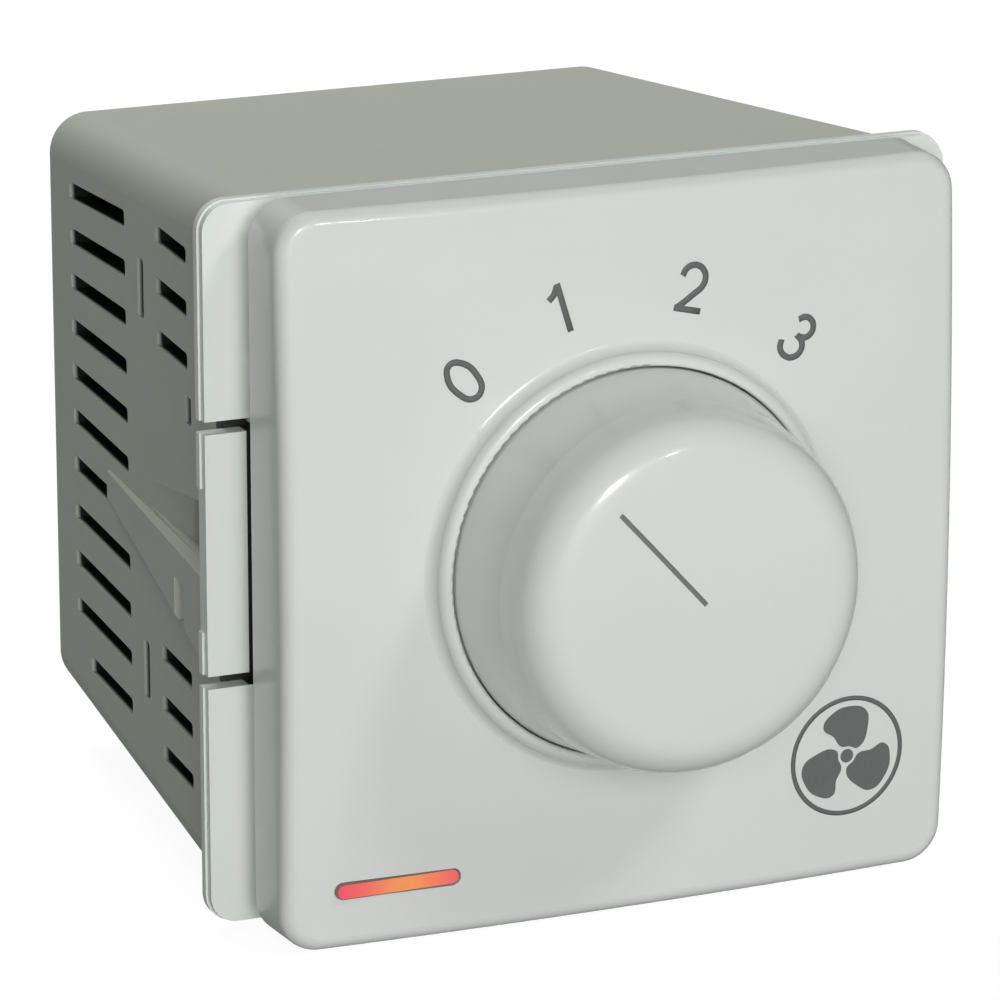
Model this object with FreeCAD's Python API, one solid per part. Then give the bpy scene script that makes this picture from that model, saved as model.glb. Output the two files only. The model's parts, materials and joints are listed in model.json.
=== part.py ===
"""Flush-mounted rotary fan speed control, in millimetres.

The working frame has its origin on the knob's axis in the plane where the mounting frame
seats on the wall plate. X runs to the right, Y runs into the wall and Z runs up. The finished
pieces are moved so that the origin lies under the middle of the whole object.
"""
import FreeCAD, Part
import math
import os

# Cover: a crowned square moulding, drafted from its rear edge, that stands clear of the frame's face
GRIP_SHOWN = 2.45
COVER_OVER_FRAME = 0.45
COVER_CORNER_R = 2.8
COVER_DRAFT = 1.6
COVER_RISE = 8.55
COVER_GAP = 2.1
COVER_WALL = 1.8
CROWN_ROOM = 0.9
COVER_EDGE_R = 1.1
CROWN_R = 380.0
HOOK_Z = 15.0
HOOK_W = 4.0
HOOK_T = 1.2
HOOK_INSET = 2.2
HOOK_END_Y = 1.2
HOOK_BARB = 0.6
HOOK_PLAY = 0.15

# Collar and well round the knob
COLLAR_RISE = 1.25
COLLAR_W = 0.9
COLLAR_LIP_R = 0.25
COLLAR_FOOT_R = 0.9
COLLAR_SINK = 0.35
WELL_DEPTH = 2.0
WELL_FLOOR = 1.2
WELL_CLEAR = 1.2
KNOB_GAP = 0.12

# Indicator bar in the cover
LENS_FROM_LEFT = 8.2
LENS_FROM_BOTTOM = 4.5
LENS_L = 9.1
LENS_H = 1.25
LENS_PROUD = 0.1
LENS_GAP = 0.05
LENS_FLANGE = 0.75
LENS_BACK = 0.9

# Mounting frame: a front layer on a slightly wider rear layer, and a raised rim that carries the cover
FRAME_OVER_SIDES = 1.675
FRAME_OVER_ENDS = 0.225
FRAME_CORNER_R = 2.1
FRAME_T = 1.3
FRAME_FRONT_T = 0.65
LIP = 0.15
FRONT_INSET = 0.12
SEAT_INSET = 1.3
SEAT_W = 1.3
GRIP_SLOT_W = 0.9
GRIP_SLOT_TOP = 9.9
GRIP_SLOT_BOTTOM = -7.9
GRIP_GAP = 0.5
GRIP_GAP_DEPTH = 0.75
LIP_GAP_TOP = 5.6
LIP_GAP_BOTTOM = -4.5
RIM_H = 2.6
RIM_T = 1.2
RIM_GAP = 0.15

# Rear housing: a drafted box, open at the front
HOUSING_W = 51.65
HOUSING_H = 50.15
HOUSING_D = 43.7
HOUSING_DRAFT = 4.2
HOUSING_WALL = 1.8
HOUSING_CORNER_R = 2.9
HOUSING_REAR_R = 0.8

# Vents in both sides of the housing
VENT_MID_Z = 0.6
VENT_H = 1.25
VENT_END_R = 0.35
VENT_TILT = 4.5
VENT_PITCH = 3.6
VENT_COUNT = 11
VENT_Y0 = 23.2
VENT_Y1 = 37.8
VENT_LOW_Y1 = 34.2
NEAR_VENT_Y0 = 7.9
NEAR_VENT_Y1 = 15.3
NEAR_VENT_FIRST = 11.4
NEAR_VENT_PITCH = 3.7
NEAR_VENT_COUNT = 3
UPRIGHT_VENT_Y = 19.3
UPRIGHT_VENT_W = 1.5
UPRIGHT_VENT_Z0 = 11.8
UPRIGHT_VENT_Z1 = 16.1

# Snap wedge on each side, with the recess above it
WALL_PLATE_T = 1.5
WEDGE_REAR_Y = 28.0
WEDGE_RISE = 1.2
WEDGE_REAR_RISE = 0.3
WEDGE_TOP_Z = -1.2
WEDGE_BOTTOM_Z = -7.6
WEDGE_REAR_TOP_Z = -1.0
WEDGE_REAR_BOTTOM_Z = -3.4
WEDGE_EASE = 0.5
RECESS_DEPTH = 0.45
RECESS_Y0 = 2.0
RECESS_Y1 = 21.0
RECESS_TOP_Z = 3.4
POCKET_Y0 = 6.2
POCKET_Y1 = 8.8
POCKET_Z0 = -7.3
POCKET_Z1 = -3.2
NICK_Z0 = 7.6
NICK_Z1 = 9.6

# Knob
KNOB_BASE_R = 13.5
KNOB_SHOULDER_R = 12.5
KNOB_H = 13.2
KNOB_EDGE_R = 4.6
KNOB_CROWN = 0.35
KNOB_WALL = 1.7
KNOB_FLOOR_GAP = 0.5
KNOB_BOSS_R = 5.0
POINTER_L = 9.8
POINTER_W = 0.34
POINTER_DEPTH = 0.3

# Rotary switch
STEP_DEG = 28.0
STEPS = 4
SHAFT_R = 3.0
SHAFT_FLAT = 0.9
SHAFT_GAP = 0.05
BUSH_R = 4.6
BUSH_FLANGE_R = 6.6
BUSH_FLANGE_T = 1.0
BUSH_NECK = 3.9
NUT_AF = 12.0
NUT_T = 2.0
WASHER_T = 0.6
WASHER_R = 6.8
HOLE_GAP = 0.05
CASE_R = 15.0
CASE_WALL = 1.8
CASE_FLOOR = 1.5
CASE_D = 10.0
CARRIER_T = 2.0
SHOULDER_R = 4.4
SHOULDER_T = 1.0
END_GAP = 0.1
ROTOR_R = 11.0
ROTOR_T = 3.0
NOTCH_DEPTH = 0.6
BALL_R = 1.5
BALL_GAP = 0.08
SPRING_WIRE = 0.3
SPRING_TURNS = 4
SPRING_L = 3.6
WIPER_T = 0.4
CONTACT_GAP = 0.9
TOUCH_GAP = 0.05
CONTACT_RADIUS = 9.0
CONTACT_R = 1.3
CONTACT_PIN_R = 0.5
RING_R0 = 4.2
RING_R1 = 6.0
CLIP_R = 4.1
CLIP_T = 0.5
CLIP_GROOVE = 0.5

# Circuit board and what it carries
BOARD_SIDE_GAP = 2.2
BOARD_H = 27.0
BOARD_T = 1.6
BOARD_Y = 16.0
POST_R = 2.4
POST_MARGIN = 2.9
POST_Z = 10.6
CAP_W = 18.0
CAP_H = 9.0
CAP_D = 13.0
CAP_Z = 6.2
RESISTOR_R = 1.2
RESISTOR_L = 6.3
BIG_RESISTOR_R = 1.8
BIG_RESISTOR_L = 11.0
LEAD_R = 0.3
LEAD_BEND_R = 0.34
LEAD_OUT = 1.2
RESISTOR_LIFT = 0.1
BLEED_L = 3.8
BLEED_FROM_POST = 2.1
BLEED_Z = 4.6
SURGE_Z = (-10.2, 1.5)

# Lamp behind the lens
LAMP_R = 1.5
LAMP_L = 8.0
LAMP_GAP = 0.15
LAMP_LEAD_OUT = 0.4
LAMP_WINDOW_END = 0.8
LEAD_ROOM = 0.5

# Terminals in the housing's rear wall
TERMINAL_W = 30.0
TERMINAL_H = 13.0
TERMINAL_D = 11.0
TERMINAL_PROUD = 0.8
TERMINAL_LEDGE = 1.5
TERMINAL_PITCH = 9.0
TERMINAL_COUNT = 3
SCREW_WELL_R = 2.4
WIRE_ENTRY_R = 1.8
ENTRY_Z = -3.0
SCREW_Z = 3.0
CLAMP_T = 0.8
CLAMP_W = 6.0
CLAMP_D = 4.0

# Fasteners
TUBE_R = 3.0
TUBE_X = 17.6
TUBE_Z = 17.2
TUBE_BORE_R = 1.35
FASTENER_R = 1.25
HEAD_R = 2.3
HEAD_T = 1.4
HEAD_GAP = 0.25
HEAD_SUNK = 0.6
SLOT_W = 0.6
BOARD_SCREW_L = 8.0
PILOT_Y = -1.0

# Places that follow from the sizes
V = FreeCAD.Vector
AXIS = V(0, 1, 0)
FRAME_W = HOUSING_W + 2 * FRAME_OVER_SIDES
FRAME_H = HOUSING_H + 2 * FRAME_OVER_ENDS
COVER_W = FRAME_W - 2 * GRIP_SHOWN
COVER_H = FRAME_H + 2 * COVER_OVER_FRAME
LENS_X = LENS_FROM_LEFT - COVER_W / 2.0
LENS_Z = LENS_FROM_BOTTOM - COVER_H / 2.0
FRAME_Y = -FRAME_T
COVER_BACK_Y = FRAME_Y - COVER_GAP
CROWN_Y = FRAME_Y - COVER_RISE
SLAB_Y = CROWN_Y + COVER_WALL + CROWN_ROOM
HOOK_X = COVER_W / 2.0 - COVER_WALL - HOOK_INSET
WELL_Y = CROWN_Y + WELL_DEPTH
COLLAR_Y = CROWN_Y - COLLAR_RISE
WELL_R = KNOB_BASE_R + KNOB_GAP
KNOB_BACK_Y = WELL_Y - KNOB_FLOOR_GAP
KNOB_FRONT_Y = KNOB_BACK_Y - KNOB_H
DRAFT = math.tan(math.radians(HOUSING_DRAFT))
REAR_IN_Y = HOUSING_D - HOUSING_WALL
REAR_Y = HOUSING_D + TERMINAL_PROUD
GRIP_X = HOUSING_W / 2.0 - HOUSING_WALL
CARRIER_Y = CASE_D
BOARD_BACK_Y = BOARD_Y + BOARD_T
BOARD_W = HOUSING_W - 2 * (DRAFT * BOARD_BACK_Y + HOUSING_WALL + BOARD_SIDE_GAP)
POST_X = BOARD_W / 2.0 - POST_MARGIN
LEAD_Z = -(HOUSING_H / 2.0 - DRAFT * RIM_H - HOUSING_WALL - RIM_GAP - RIM_T - RESISTOR_R - LEAD_ROOM)
LAMP_Y = SLAB_Y + LENS_BACK + LAMP_GAP + LAMP_R
BUSH_FRONT_Y = FRAME_Y - BUSH_NECK
FLANGE_BACK_Y = CASE_FLOOR + BUSH_FLANGE_T
SHOULDER_Y = FLANGE_BACK_Y + END_GAP
ROTOR_Y = SHOULDER_Y + SHOULDER_T
ROTOR_BACK_Y = ROTOR_Y + ROTOR_T
WIPER_BACK_Y = ROTOR_BACK_Y + WIPER_T
CONTACT_Y = WIPER_BACK_Y + CONTACT_GAP
SHAFT_FRONT_Y = KNOB_FRONT_Y + 3.0 * KNOB_WALL
FIRST_DEG = -STEP_DEG * (STEPS - 1) / 2.0
CLIP_Y = BUSH_FRONT_Y - END_GAP - CLIP_T


def rounded_wire(width, height, radius, y, x=0.0, z=0.0):
    """Outline of a rounded rectangle in the plane y, centred on x and z."""
    half_w = width / 2.0 - radius
    half_h = height / 2.0 - radius
    centres = [(half_w, half_h), (-half_w, half_h), (-half_w, -half_h), (half_w, -half_h)]
    arcs = []
    for i, (cx, cz) in enumerate(centres):
        ends = []
        for deg in (90 * i, 90 * i + 45, 90 * i + 90):
            turn = math.radians(deg)
            ends.append(V(x + cx + radius * math.cos(turn), y, z + cz + radius * math.sin(turn)))
        arcs.append(ends)
    edges = []
    for i, ends in enumerate(arcs):
        edges.append(Part.Arc(*ends).toShape())
        following = arcs[(i + 1) % 4][0]
        if (following - ends[2]).Length > 1e-6:
            edges.append(Part.makeLine(ends[2], following))
    return Part.Wire(edges)


def plate(width, height, radius, y0, y1, x=0.0, z=0.0):
    """Rounded rectangular plate from y0 to y1."""
    return Part.Face(rounded_wire(width, height, radius, y0, x, z)).extrude(V(0, y1 - y0, 0))


def tapered(width, height, radius, y0, y1, slope):
    """Rounded box whose half width and half height shrink by slope for each millimetre of y."""
    wires = []
    for y in (y0, y1):
        wires.append(rounded_wire(width - 2 * slope * y, height - 2 * slope * y, radius, y))
    return Part.makeLoft(wires, True, True)


def rod(radius, y0, y1, x=0.0, z=0.0):
    """Round bar along Y."""
    return Part.makeCylinder(radius, y1 - y0, V(x, y0, z), AXIS)


def cross_rod(radius, length, x, y, z):
    """Round bar along X, centred on x."""
    return Part.makeCylinder(radius, length, V(x - length / 2.0, y, z), V(1, 0, 0))


def block(x0, x1, y0, y1, z0, z1):
    """Box between two corners."""
    return Part.makeBox(x1 - x0, y1 - y0, z1 - z0, V(x0, y0, z0))


def turned(points):
    """Solid of revolution about the Y axis; points are (radius, y), or three points for an arc."""
    edges = []
    last = None
    for item in points:
        arc = [V(r, y, 0) for r, y in item] if isinstance(item, list) else [V(item[0], item[1], 0)]
        if last is not None and (arc[0] - last).Length > 1e-6:
            edges.append(Part.makeLine(last, arc[0]))
        if len(arc) == 3:
            edges.append(Part.Arc(*arc).toShape())
        last = arc[-1]
    face = Part.Face(Part.Wire(edges))
    return face.revolve(V(0, 0, 0), AXIS, 360)


def across(y0, y1, z_mid, height, radius, x0, x1):
    """Rounded slot cutter along X."""
    cutter = plate(y1 - y0, height, radius, -x1, -x0, (y0 + y1) / 2.0, z_mid)
    cutter.rotate(V(0, 0, 0), V(0, 0, 1), 90)
    return cutter


def mirrored(shape):
    """The same shape on the other side of the knob's axis."""
    return shape.mirror(V(0, 0, 0), V(1, 0, 0))


def on_circle(radius, degrees):
    """X and Z of a point on a circle, with 0 degrees at the top and clockwise from the front."""
    turn = math.radians(degrees)
    return radius * math.sin(turn), radius * math.cos(turn)


def housing_half_w(y):
    """Half width of the housing's outside at depth y."""
    return HOUSING_W / 2.0 - DRAFT * y


def cover_body():
    """Outside of the cover: a drafted box under a crowned face, with a rounded front edge."""
    slope = math.tan(math.radians(COVER_DRAFT))
    wires = []
    for y in (COVER_BACK_Y, CROWN_Y - 1.0):
        less = 2 * slope * (COVER_BACK_Y - y)
        wires.append(rounded_wire(COVER_W - less, COVER_H - less, COVER_CORNER_R, y))
    body = Part.makeLoft(wires, True, True)
    crown = Part.makeSphere(CROWN_R, V(0, CROWN_Y + CROWN_R, 0))
    body = body.common(crown)
    front = max(body.Faces, key=lambda face: face.Area * (face.CenterOfMass.y < CROWN_Y + 1.0))
    return body.makeFillet(COVER_EDGE_R, front.Edges)


def collar_solid():
    """Raised ring round the knob: a small inner rounding, a wide outer one and a hollow foot."""
    outer_r = WELL_R + COLLAR_W
    crest_r = WELL_R + COLLAR_LIP_R
    roll_r = COLLAR_W - COLLAR_LIP_R
    foot_y = CROWN_Y + COLLAR_SINK
    eased = 1.0 - math.sqrt(0.5)
    lip = [(WELL_R, COLLAR_Y + COLLAR_LIP_R),
           (WELL_R + COLLAR_LIP_R * eased, COLLAR_Y + COLLAR_LIP_R * eased),
           (crest_r, COLLAR_Y)]
    rolled = [(crest_r, COLLAR_Y),
              (outer_r - roll_r * eased, COLLAR_Y + roll_r * eased),
              (outer_r, COLLAR_Y + roll_r)]
    swept = COLLAR_FOOT_R * eased
    hollow = [(outer_r, foot_y - COLLAR_FOOT_R),
              (outer_r + swept, foot_y - swept),
              (outer_r + COLLAR_FOOT_R, foot_y)]
    return turned([(WELL_R, WELL_Y), lip, rolled, (outer_r, foot_y - COLLAR_FOOT_R), hollow,
                   (outer_r + COLLAR_FOOT_R, WELL_Y), (WELL_R, WELL_Y)])


def hook(z):
    """Snap hook of the cover that reaches through the frame, on the right."""
    leg = block(HOOK_X, HOOK_X + HOOK_T, CROWN_Y + COVER_WALL, HOOK_END_Y, z - HOOK_W / 2.0, z + HOOK_W / 2.0)
    z0 = z - HOOK_W / 2.0
    corners_xy = [(HOOK_X, HOOK_PLAY), (HOOK_X - HOOK_BARB, HOOK_PLAY), (HOOK_X, HOOK_END_Y), (HOOK_X, HOOK_PLAY)]
    barb = Part.Face(Part.makePolygon([V(x, y, z0) for x, y in corners_xy])).extrude(V(0, 0, HOOK_W))
    return leg.fuse(barb)


def hooks():
    """The cover's four snap hooks."""
    right = [hook(z) for z in (-HOOK_Z, HOOK_Z)]
    return right + [mirrored(each) for each in right]


def lens_outline(length, height, y0, y1):
    """Bar with round ends at the lens's place."""
    return plate(length, height, height / 2.0 - 0.01, y0, y1, LENS_X, LENS_Z)


def front_cover():
    """Hollow moulding with the collar, the knob's well, four hooks and the lens's window."""
    body = cover_body()
    inside = plate(COVER_W - 2 * COVER_WALL, COVER_H - 2 * COVER_WALL, COVER_CORNER_R - 1.0, SLAB_Y,
                   COVER_BACK_Y + 1.0)
    body = body.cut(inside)
    drum = rod(WELL_R + COVER_WALL, CROWN_Y + COVER_WALL, WELL_Y + WELL_FLOOR)
    body = body.fuse([drum, collar_solid()] + hooks())
    body = body.cut(rod(WELL_R, COLLAR_Y - 1.0, WELL_Y))
    body = body.cut(rod(CLIP_R + WELL_CLEAR, WELL_Y - 1.0, WELL_Y + WELL_FLOOR + 1.0))
    return body.cut(lens_outline(LENS_L, LENS_H, COLLAR_Y, FRAME_Y))


def face_y(x, z):
    """Depth of the crowned face at x and z."""
    return CROWN_Y + CROWN_R - math.sqrt(CROWN_R ** 2 - x * x - z * z)


def indicator_lens():
    """Light bar with a flange behind the cover's front."""
    front = face_y(LENS_X, LENS_Z) - LENS_PROUD
    bar = lens_outline(LENS_L - 2 * LENS_GAP, LENS_H - 2 * LENS_GAP, front, SLAB_Y)
    bar = bar.makeFillet(LENS_PROUD, [edge for edge in bar.Edges if edge.BoundBox.YMax < front + 0.01])
    return bar.fuse(lens_outline(LENS_L + 2 * LENS_FLANGE, LENS_H + 2 * LENS_FLANGE, SLAB_Y, SLAB_Y + LENS_BACK))


def grip_cuts():
    """Slots that part the frame's edge into three grips, with the seam behind the middle one."""
    outer = FRAME_W / 2.0 + LIP + 1.0
    cuts = []
    for z in (GRIP_SLOT_TOP, GRIP_SLOT_BOTTOM):
        cuts.append(block(GRIP_X, outer, FRAME_Y - 1.0, 1.0, z - GRIP_SLOT_W / 2.0, z + GRIP_SLOT_W / 2.0))
    cuts.append(block(GRIP_X - 0.1, GRIP_X + GRIP_GAP, FRAME_Y - 1.0, FRAME_Y + GRIP_GAP_DEPTH,
                      GRIP_SLOT_BOTTOM, GRIP_SLOT_TOP))
    cuts.append(block(FRAME_W / 2.0, outer, FRAME_Y - 1.0, 1.0, LIP_GAP_BOTTOM, LIP_GAP_TOP))
    return cuts + [mirrored(cut) for cut in cuts]


def frame_rim():
    """Locating rim that enters the housing."""
    inset = 2 * (HOUSING_WALL + RIM_GAP)
    outside = tapered(HOUSING_W - inset, HOUSING_H - inset, HOUSING_CORNER_R - HOUSING_WALL, 0.0, RIM_H, DRAFT)
    inset += 2 * RIM_T
    inside = tapered(HOUSING_W - inset, HOUSING_H - inset, 0.4, -0.5, RIM_H + 0.5, DRAFT)
    return outside.cut(inside)


def cover_seat():
    """Raised rim on the frame's front that the cover's rear edge rests on."""
    width = COVER_W - 2 * SEAT_INSET
    height = COVER_H - 2 * SEAT_INSET
    outside = plate(width, height, COVER_CORNER_R - SEAT_INSET, COVER_BACK_Y, FRAME_Y + 0.1)
    return outside.cut(plate(width - 2 * SEAT_W, height - 2 * SEAT_W, 0.6, COVER_BACK_Y - 1.0, FRAME_Y + 1.0))


def mounting_frame():
    """Flange in two layers with grips, the cover's seat, the housing's rim and four screw bosses."""
    rear = plate(FRAME_W + 2 * LIP, FRAME_H, FRAME_CORNER_R, FRAME_Y + FRAME_FRONT_T, 0.0)
    front = plate(FRAME_W, FRAME_H - 2 * FRONT_INSET, FRAME_CORNER_R - FRONT_INSET, FRAME_Y,
                  FRAME_Y + FRAME_FRONT_T)
    bosses = [rod(TUBE_R, -FRAME_FRONT_T / 2.0, RIM_H, x, z) for x, z in corners(TUBE_X, TUBE_Z)]
    frame = rear.fuse([front, frame_rim(), cover_seat()] + bosses)
    frame = frame.cut(rod(BUSH_R + HOLE_GAP, FRAME_Y - 1.0, 1.0))
    for x, z in corners(TUBE_X, TUBE_Z):
        frame = frame.cut(rod(FASTENER_R, PILOT_Y, RIM_H + 1.0, x, z))
    frame = frame.cut(lamp_window())
    for z in (-HOOK_Z, HOOK_Z):
        slot = block(HOOK_X - HOOK_BARB - 0.2, HOOK_X + HOOK_T + 0.1, FRAME_Y - 1.0, 1.0,
                     z - HOOK_W / 2.0 - 0.2, z + HOOK_W / 2.0 + 0.2)
        frame = frame.cut([slot, mirrored(slot)])
    return frame.cut(grip_cuts())


def lamp_window():
    """Opening in the frame that the lamp's leads pass through."""
    reach = LAMP_L / 2.0 + LAMP_WINDOW_END
    low = min(LENS_Z, LEAD_Z) - LEAD_R - LEAD_ROOM
    high = max(LENS_Z, LEAD_Z) + LEAD_R + LEAD_ROOM
    return block(LENS_X - reach, LENS_X + reach, FRAME_Y - 1.0, 1.0, low, high)


def corners(x, z):
    """The four mirror places of x and z."""
    return [(sx * x, sz * z) for sx in (-1, 1) for sz in (-1, 1)]


def vent_cutters():
    """Slots through both side walls; those above the middle slope with the housing's top."""
    reach = HOUSING_W
    cutters = []
    middle = (VENT_COUNT - 1) / 2.0
    for i in range(VENT_COUNT):
        end = VENT_LOW_Y1 if i == VENT_COUNT - 1 else VENT_Y1
        z = VENT_MID_Z + VENT_PITCH * (middle - i)
        slot = across(VENT_Y0, end, z, VENT_H, VENT_END_R, -reach, reach)
        slot.rotate(V(0, VENT_Y0, z), V(1, 0, 0), -VENT_TILT * max(middle - i, 0.0) / middle)
        cutters.append(slot)
    for side in (-1, 1):
        for i in range(NEAR_VENT_COUNT):
            z = VENT_MID_Z + side * (NEAR_VENT_FIRST + NEAR_VENT_PITCH * i)
            cutters.append(across(NEAR_VENT_Y0, NEAR_VENT_Y1, z, VENT_H, VENT_END_R, -reach, reach))
        z = VENT_MID_Z + side * (UPRIGHT_VENT_Z0 + UPRIGHT_VENT_Z1) / 2.0
        cutters.append(across(UPRIGHT_VENT_Y - UPRIGHT_VENT_W / 2.0, UPRIGHT_VENT_Y + UPRIGHT_VENT_W / 2.0,
                              z, UPRIGHT_VENT_Z1 - UPRIGHT_VENT_Z0, VENT_END_R, -reach, reach))
    return cutters


def snap_wedge():
    """Raised ramp that grips the wall plate, on the right side of the housing."""
    y0 = WALL_PLATE_T + 0.1
    sections = []
    for y, rise, z0, z1 in ((y0, WEDGE_RISE, WEDGE_BOTTOM_Z, WEDGE_TOP_Z),
                            (WEDGE_REAR_Y, WEDGE_REAR_RISE, WEDGE_REAR_BOTTOM_Z, WEDGE_REAR_TOP_Z)):
        wall = housing_half_w(y)
        inner = wall - HOUSING_WALL / 2.0
        outline = [(inner, z0), (wall + rise * 0.7, z0), (wall + rise, z0 + WEDGE_EASE), (wall + rise, z1),
                   (inner, z1), (inner, z0)]
        sections.append(Part.makePolygon([V(x, y, z) for x, z in outline]))
    return Part.makeLoft(sections, True, True)


def wedge_cuts():
    """Recess above the wedge, the pocket in it and the nick above, on the right side."""
    def wall_prism(points, depth):
        outline = [V(0, y, z) for y, z in points]
        face = Part.Face(Part.makePolygon(outline + outline[:1]))
        y_mid = sum(y for y, _ in points) / len(points)
        cutter = face.extrude(V(depth + 4.0, 0, 0))
        cutter.translate(V(housing_half_w(y_mid) - depth, 0, 0))
        return cutter

    recess = wall_prism([(RECESS_Y0, WEDGE_TOP_Z), (RECESS_Y0, RECESS_TOP_Z), (RECESS_Y1, WEDGE_REAR_TOP_Z + 1.6),
                         (RECESS_Y1, WEDGE_REAR_TOP_Z + 0.3)], RECESS_DEPTH)
    pocket = wall_prism([(POCKET_Y0, POCKET_Z0), (POCKET_Y0, POCKET_Z1), (POCKET_Y1, POCKET_Z1),
                         (POCKET_Y1, POCKET_Z0)], RECESS_DEPTH)
    nick = wall_prism([(POCKET_Y0 + 1.0, NICK_Z0), (POCKET_Y0 + 1.0, NICK_Z1), (POCKET_Y1 - 0.2, NICK_Z1),
                       (POCKET_Y1 - 0.2, NICK_Z0)], RECESS_DEPTH)
    return [recess, pocket, nick]


def screw_recess(x, z):
    """Counterbore and clear hole for a screw that enters from the rear."""
    head = rod(HEAD_R + HEAD_GAP, HOUSING_D - HEAD_T - HEAD_SUNK, HOUSING_D + 1.0, x, z)
    return head.fuse(rod(TUBE_BORE_R, RIM_H - 0.5, HOUSING_D, x, z))


def rear_housing():
    """Drafted box with vents, snap wedges, screw tubes, board posts and the terminal opening."""
    outside = tapered(HOUSING_W, HOUSING_H, HOUSING_CORNER_R, 0.0, HOUSING_D, DRAFT)
    rear_edges = [edge for edge in outside.Edges if edge.BoundBox.YMin > HOUSING_D - 0.01]
    outside = outside.makeFillet(HOUSING_REAR_R, rear_edges)
    inside = tapered(HOUSING_W - 2 * HOUSING_WALL, HOUSING_H - 2 * HOUSING_WALL,
                     HOUSING_CORNER_R - HOUSING_WALL, -1.0, REAR_IN_Y, DRAFT)
    shell = outside.cut(inside).cut(vent_cutters())
    wedge = snap_wedge()
    shell = shell.fuse([wedge, mirrored(wedge)])
    cuts = wedge_cuts()
    shell = shell.cut(cuts + [mirrored(cut) for cut in cuts])
    tubes = [rod(TUBE_R, RIM_H + 0.1, HOUSING_D - 0.5, x, z) for x, z in corners(TUBE_X, TUBE_Z)]
    posts = [rod(POST_R, BOARD_BACK_Y, REAR_IN_Y + 0.5, x, z) for x, z in corners(POST_X, POST_Z)]
    envelope = tapered(HOUSING_W - 0.4, HOUSING_H - 0.4, HOUSING_CORNER_R, 0.0, HOUSING_D - 0.2, DRAFT)
    shell = shell.fuse([tube.common(envelope) for tube in tubes + posts])
    for x, z in corners(TUBE_X, TUBE_Z):
        shell = shell.cut(screw_recess(x, z))
    for x, z in corners(POST_X, POST_Z):
        shell = shell.cut(rod(FASTENER_R, BOARD_BACK_Y - 1.0, BOARD_BACK_Y + BOARD_SCREW_L, x, z))
    return shell.cut(block(-TERMINAL_W / 2.0 - 0.1, TERMINAL_W / 2.0 + 0.1, REAR_IN_Y - 1.0, HOUSING_D + 1.0,
                           -TERMINAL_H / 2.0 - 0.1, TERMINAL_H / 2.0 + 0.1))


def shaft_section(y0, y1, gap=0.0):
    """Round bar with one flat, as the shaft's ends are."""
    bar = rod(SHAFT_R + gap, y0, y1)
    keep = SHAFT_R - SHAFT_FLAT + gap
    bar = bar.cut(block(-SHAFT_R - 1.0, SHAFT_R + 1.0, y0 - 1.0, y1 + 1.0, keep, SHAFT_R + 2.0))
    bar.rotate(V(0, 0, 0), AXIS, FIRST_DEG)
    return bar


def knob_outside(inset=0.0):
    """Turned form of the knob; inset gives its inside."""
    base_r = KNOB_BASE_R - inset
    shoulder_r = KNOB_SHOULDER_R - inset
    front = KNOB_FRONT_Y + inset
    edge = max(KNOB_EDGE_R - inset, 0.5)
    back = KNOB_BACK_Y + (1.0 if inset else 0.0)
    shoulder_y = front + KNOB_CROWN + edge
    flat_r = shoulder_r - edge
    half = edge * (1.0 - math.sqrt(0.5))
    rounding = [(shoulder_r, shoulder_y), (shoulder_r - half, front + KNOB_CROWN + half),
                (flat_r, front + KNOB_CROWN)]
    crown = [(flat_r, front + KNOB_CROWN), (flat_r / 2.0, front + KNOB_CROWN * 0.25), (0.0, front)]
    return turned([(0.0, back), (base_r, back), (base_r, COLLAR_Y), rounding, crown, (0.0, back)])


def pointer_groove():
    """Straight groove in the knob's face, from its middle towards the first position."""
    groove = block(-POINTER_W / 2.0, POINTER_W / 2.0, KNOB_FRONT_Y - 1.0, KNOB_FRONT_Y + KNOB_CROWN + POINTER_DEPTH,
                   0.0, POINTER_L)
    groove.rotate(V(0, 0, 0), AXIS, FIRST_DEG)
    return groove


def knob():
    """Hollow tapered knob with a bored boss and a pointer groove."""
    body = knob_outside().cut(knob_outside(KNOB_WALL))
    boss = rod(KNOB_BOSS_R, KNOB_FRONT_Y + KNOB_WALL, KNOB_BACK_Y - 0.2)
    body = body.fuse(boss).cut(shaft_section(SHAFT_FRONT_Y - 0.2, KNOB_BACK_Y + 1.0, SHAFT_GAP))
    body = body.cut(clip_pocket(0.1))
    return body.cut(pointer_groove())


def clip_pocket(gap):
    """Room between the shaft's flat and the boss for the leaf clip."""
    flat = SHAFT_R - SHAFT_FLAT + SHAFT_GAP
    room = block(-1.6 - gap, 1.6 + gap, SHAFT_FRONT_Y + 0.6 - gap, KNOB_BACK_Y - 0.8 + gap, flat - 0.001,
                 flat + 0.5 + gap)
    room.rotate(V(0, 0, 0), AXIS, FIRST_DEG)
    return room


def knob_spring_clip():
    """Leaf that grips the shaft's flat."""
    return clip_pocket(0.0)


def switch_shaft():
    """Shaft with two flats, a journal, a shoulder, a rear spigot and the circlip's groove."""
    grip = shaft_section(SHAFT_FRONT_Y, KNOB_BACK_Y)
    journal = rod(SHAFT_R, KNOB_BACK_Y, ROTOR_Y)
    tail = shaft_section(ROTOR_Y, CARRIER_Y)
    spigot = rod(SHAFT_R - SHAFT_FLAT - 0.1, CARRIER_Y, CARRIER_Y + CARRIER_T - 0.4)
    shaft = grip.fuse([journal, tail, spigot, rod(SHOULDER_R, SHOULDER_Y, ROTOR_Y)])
    groove = rod(SHAFT_R + 1.0, CLIP_Y, CLIP_Y + CLIP_T).cut(rod(SHAFT_R - CLIP_GROOVE, CLIP_Y, CLIP_Y + CLIP_T))
    return shaft.cut(groove)


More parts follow.
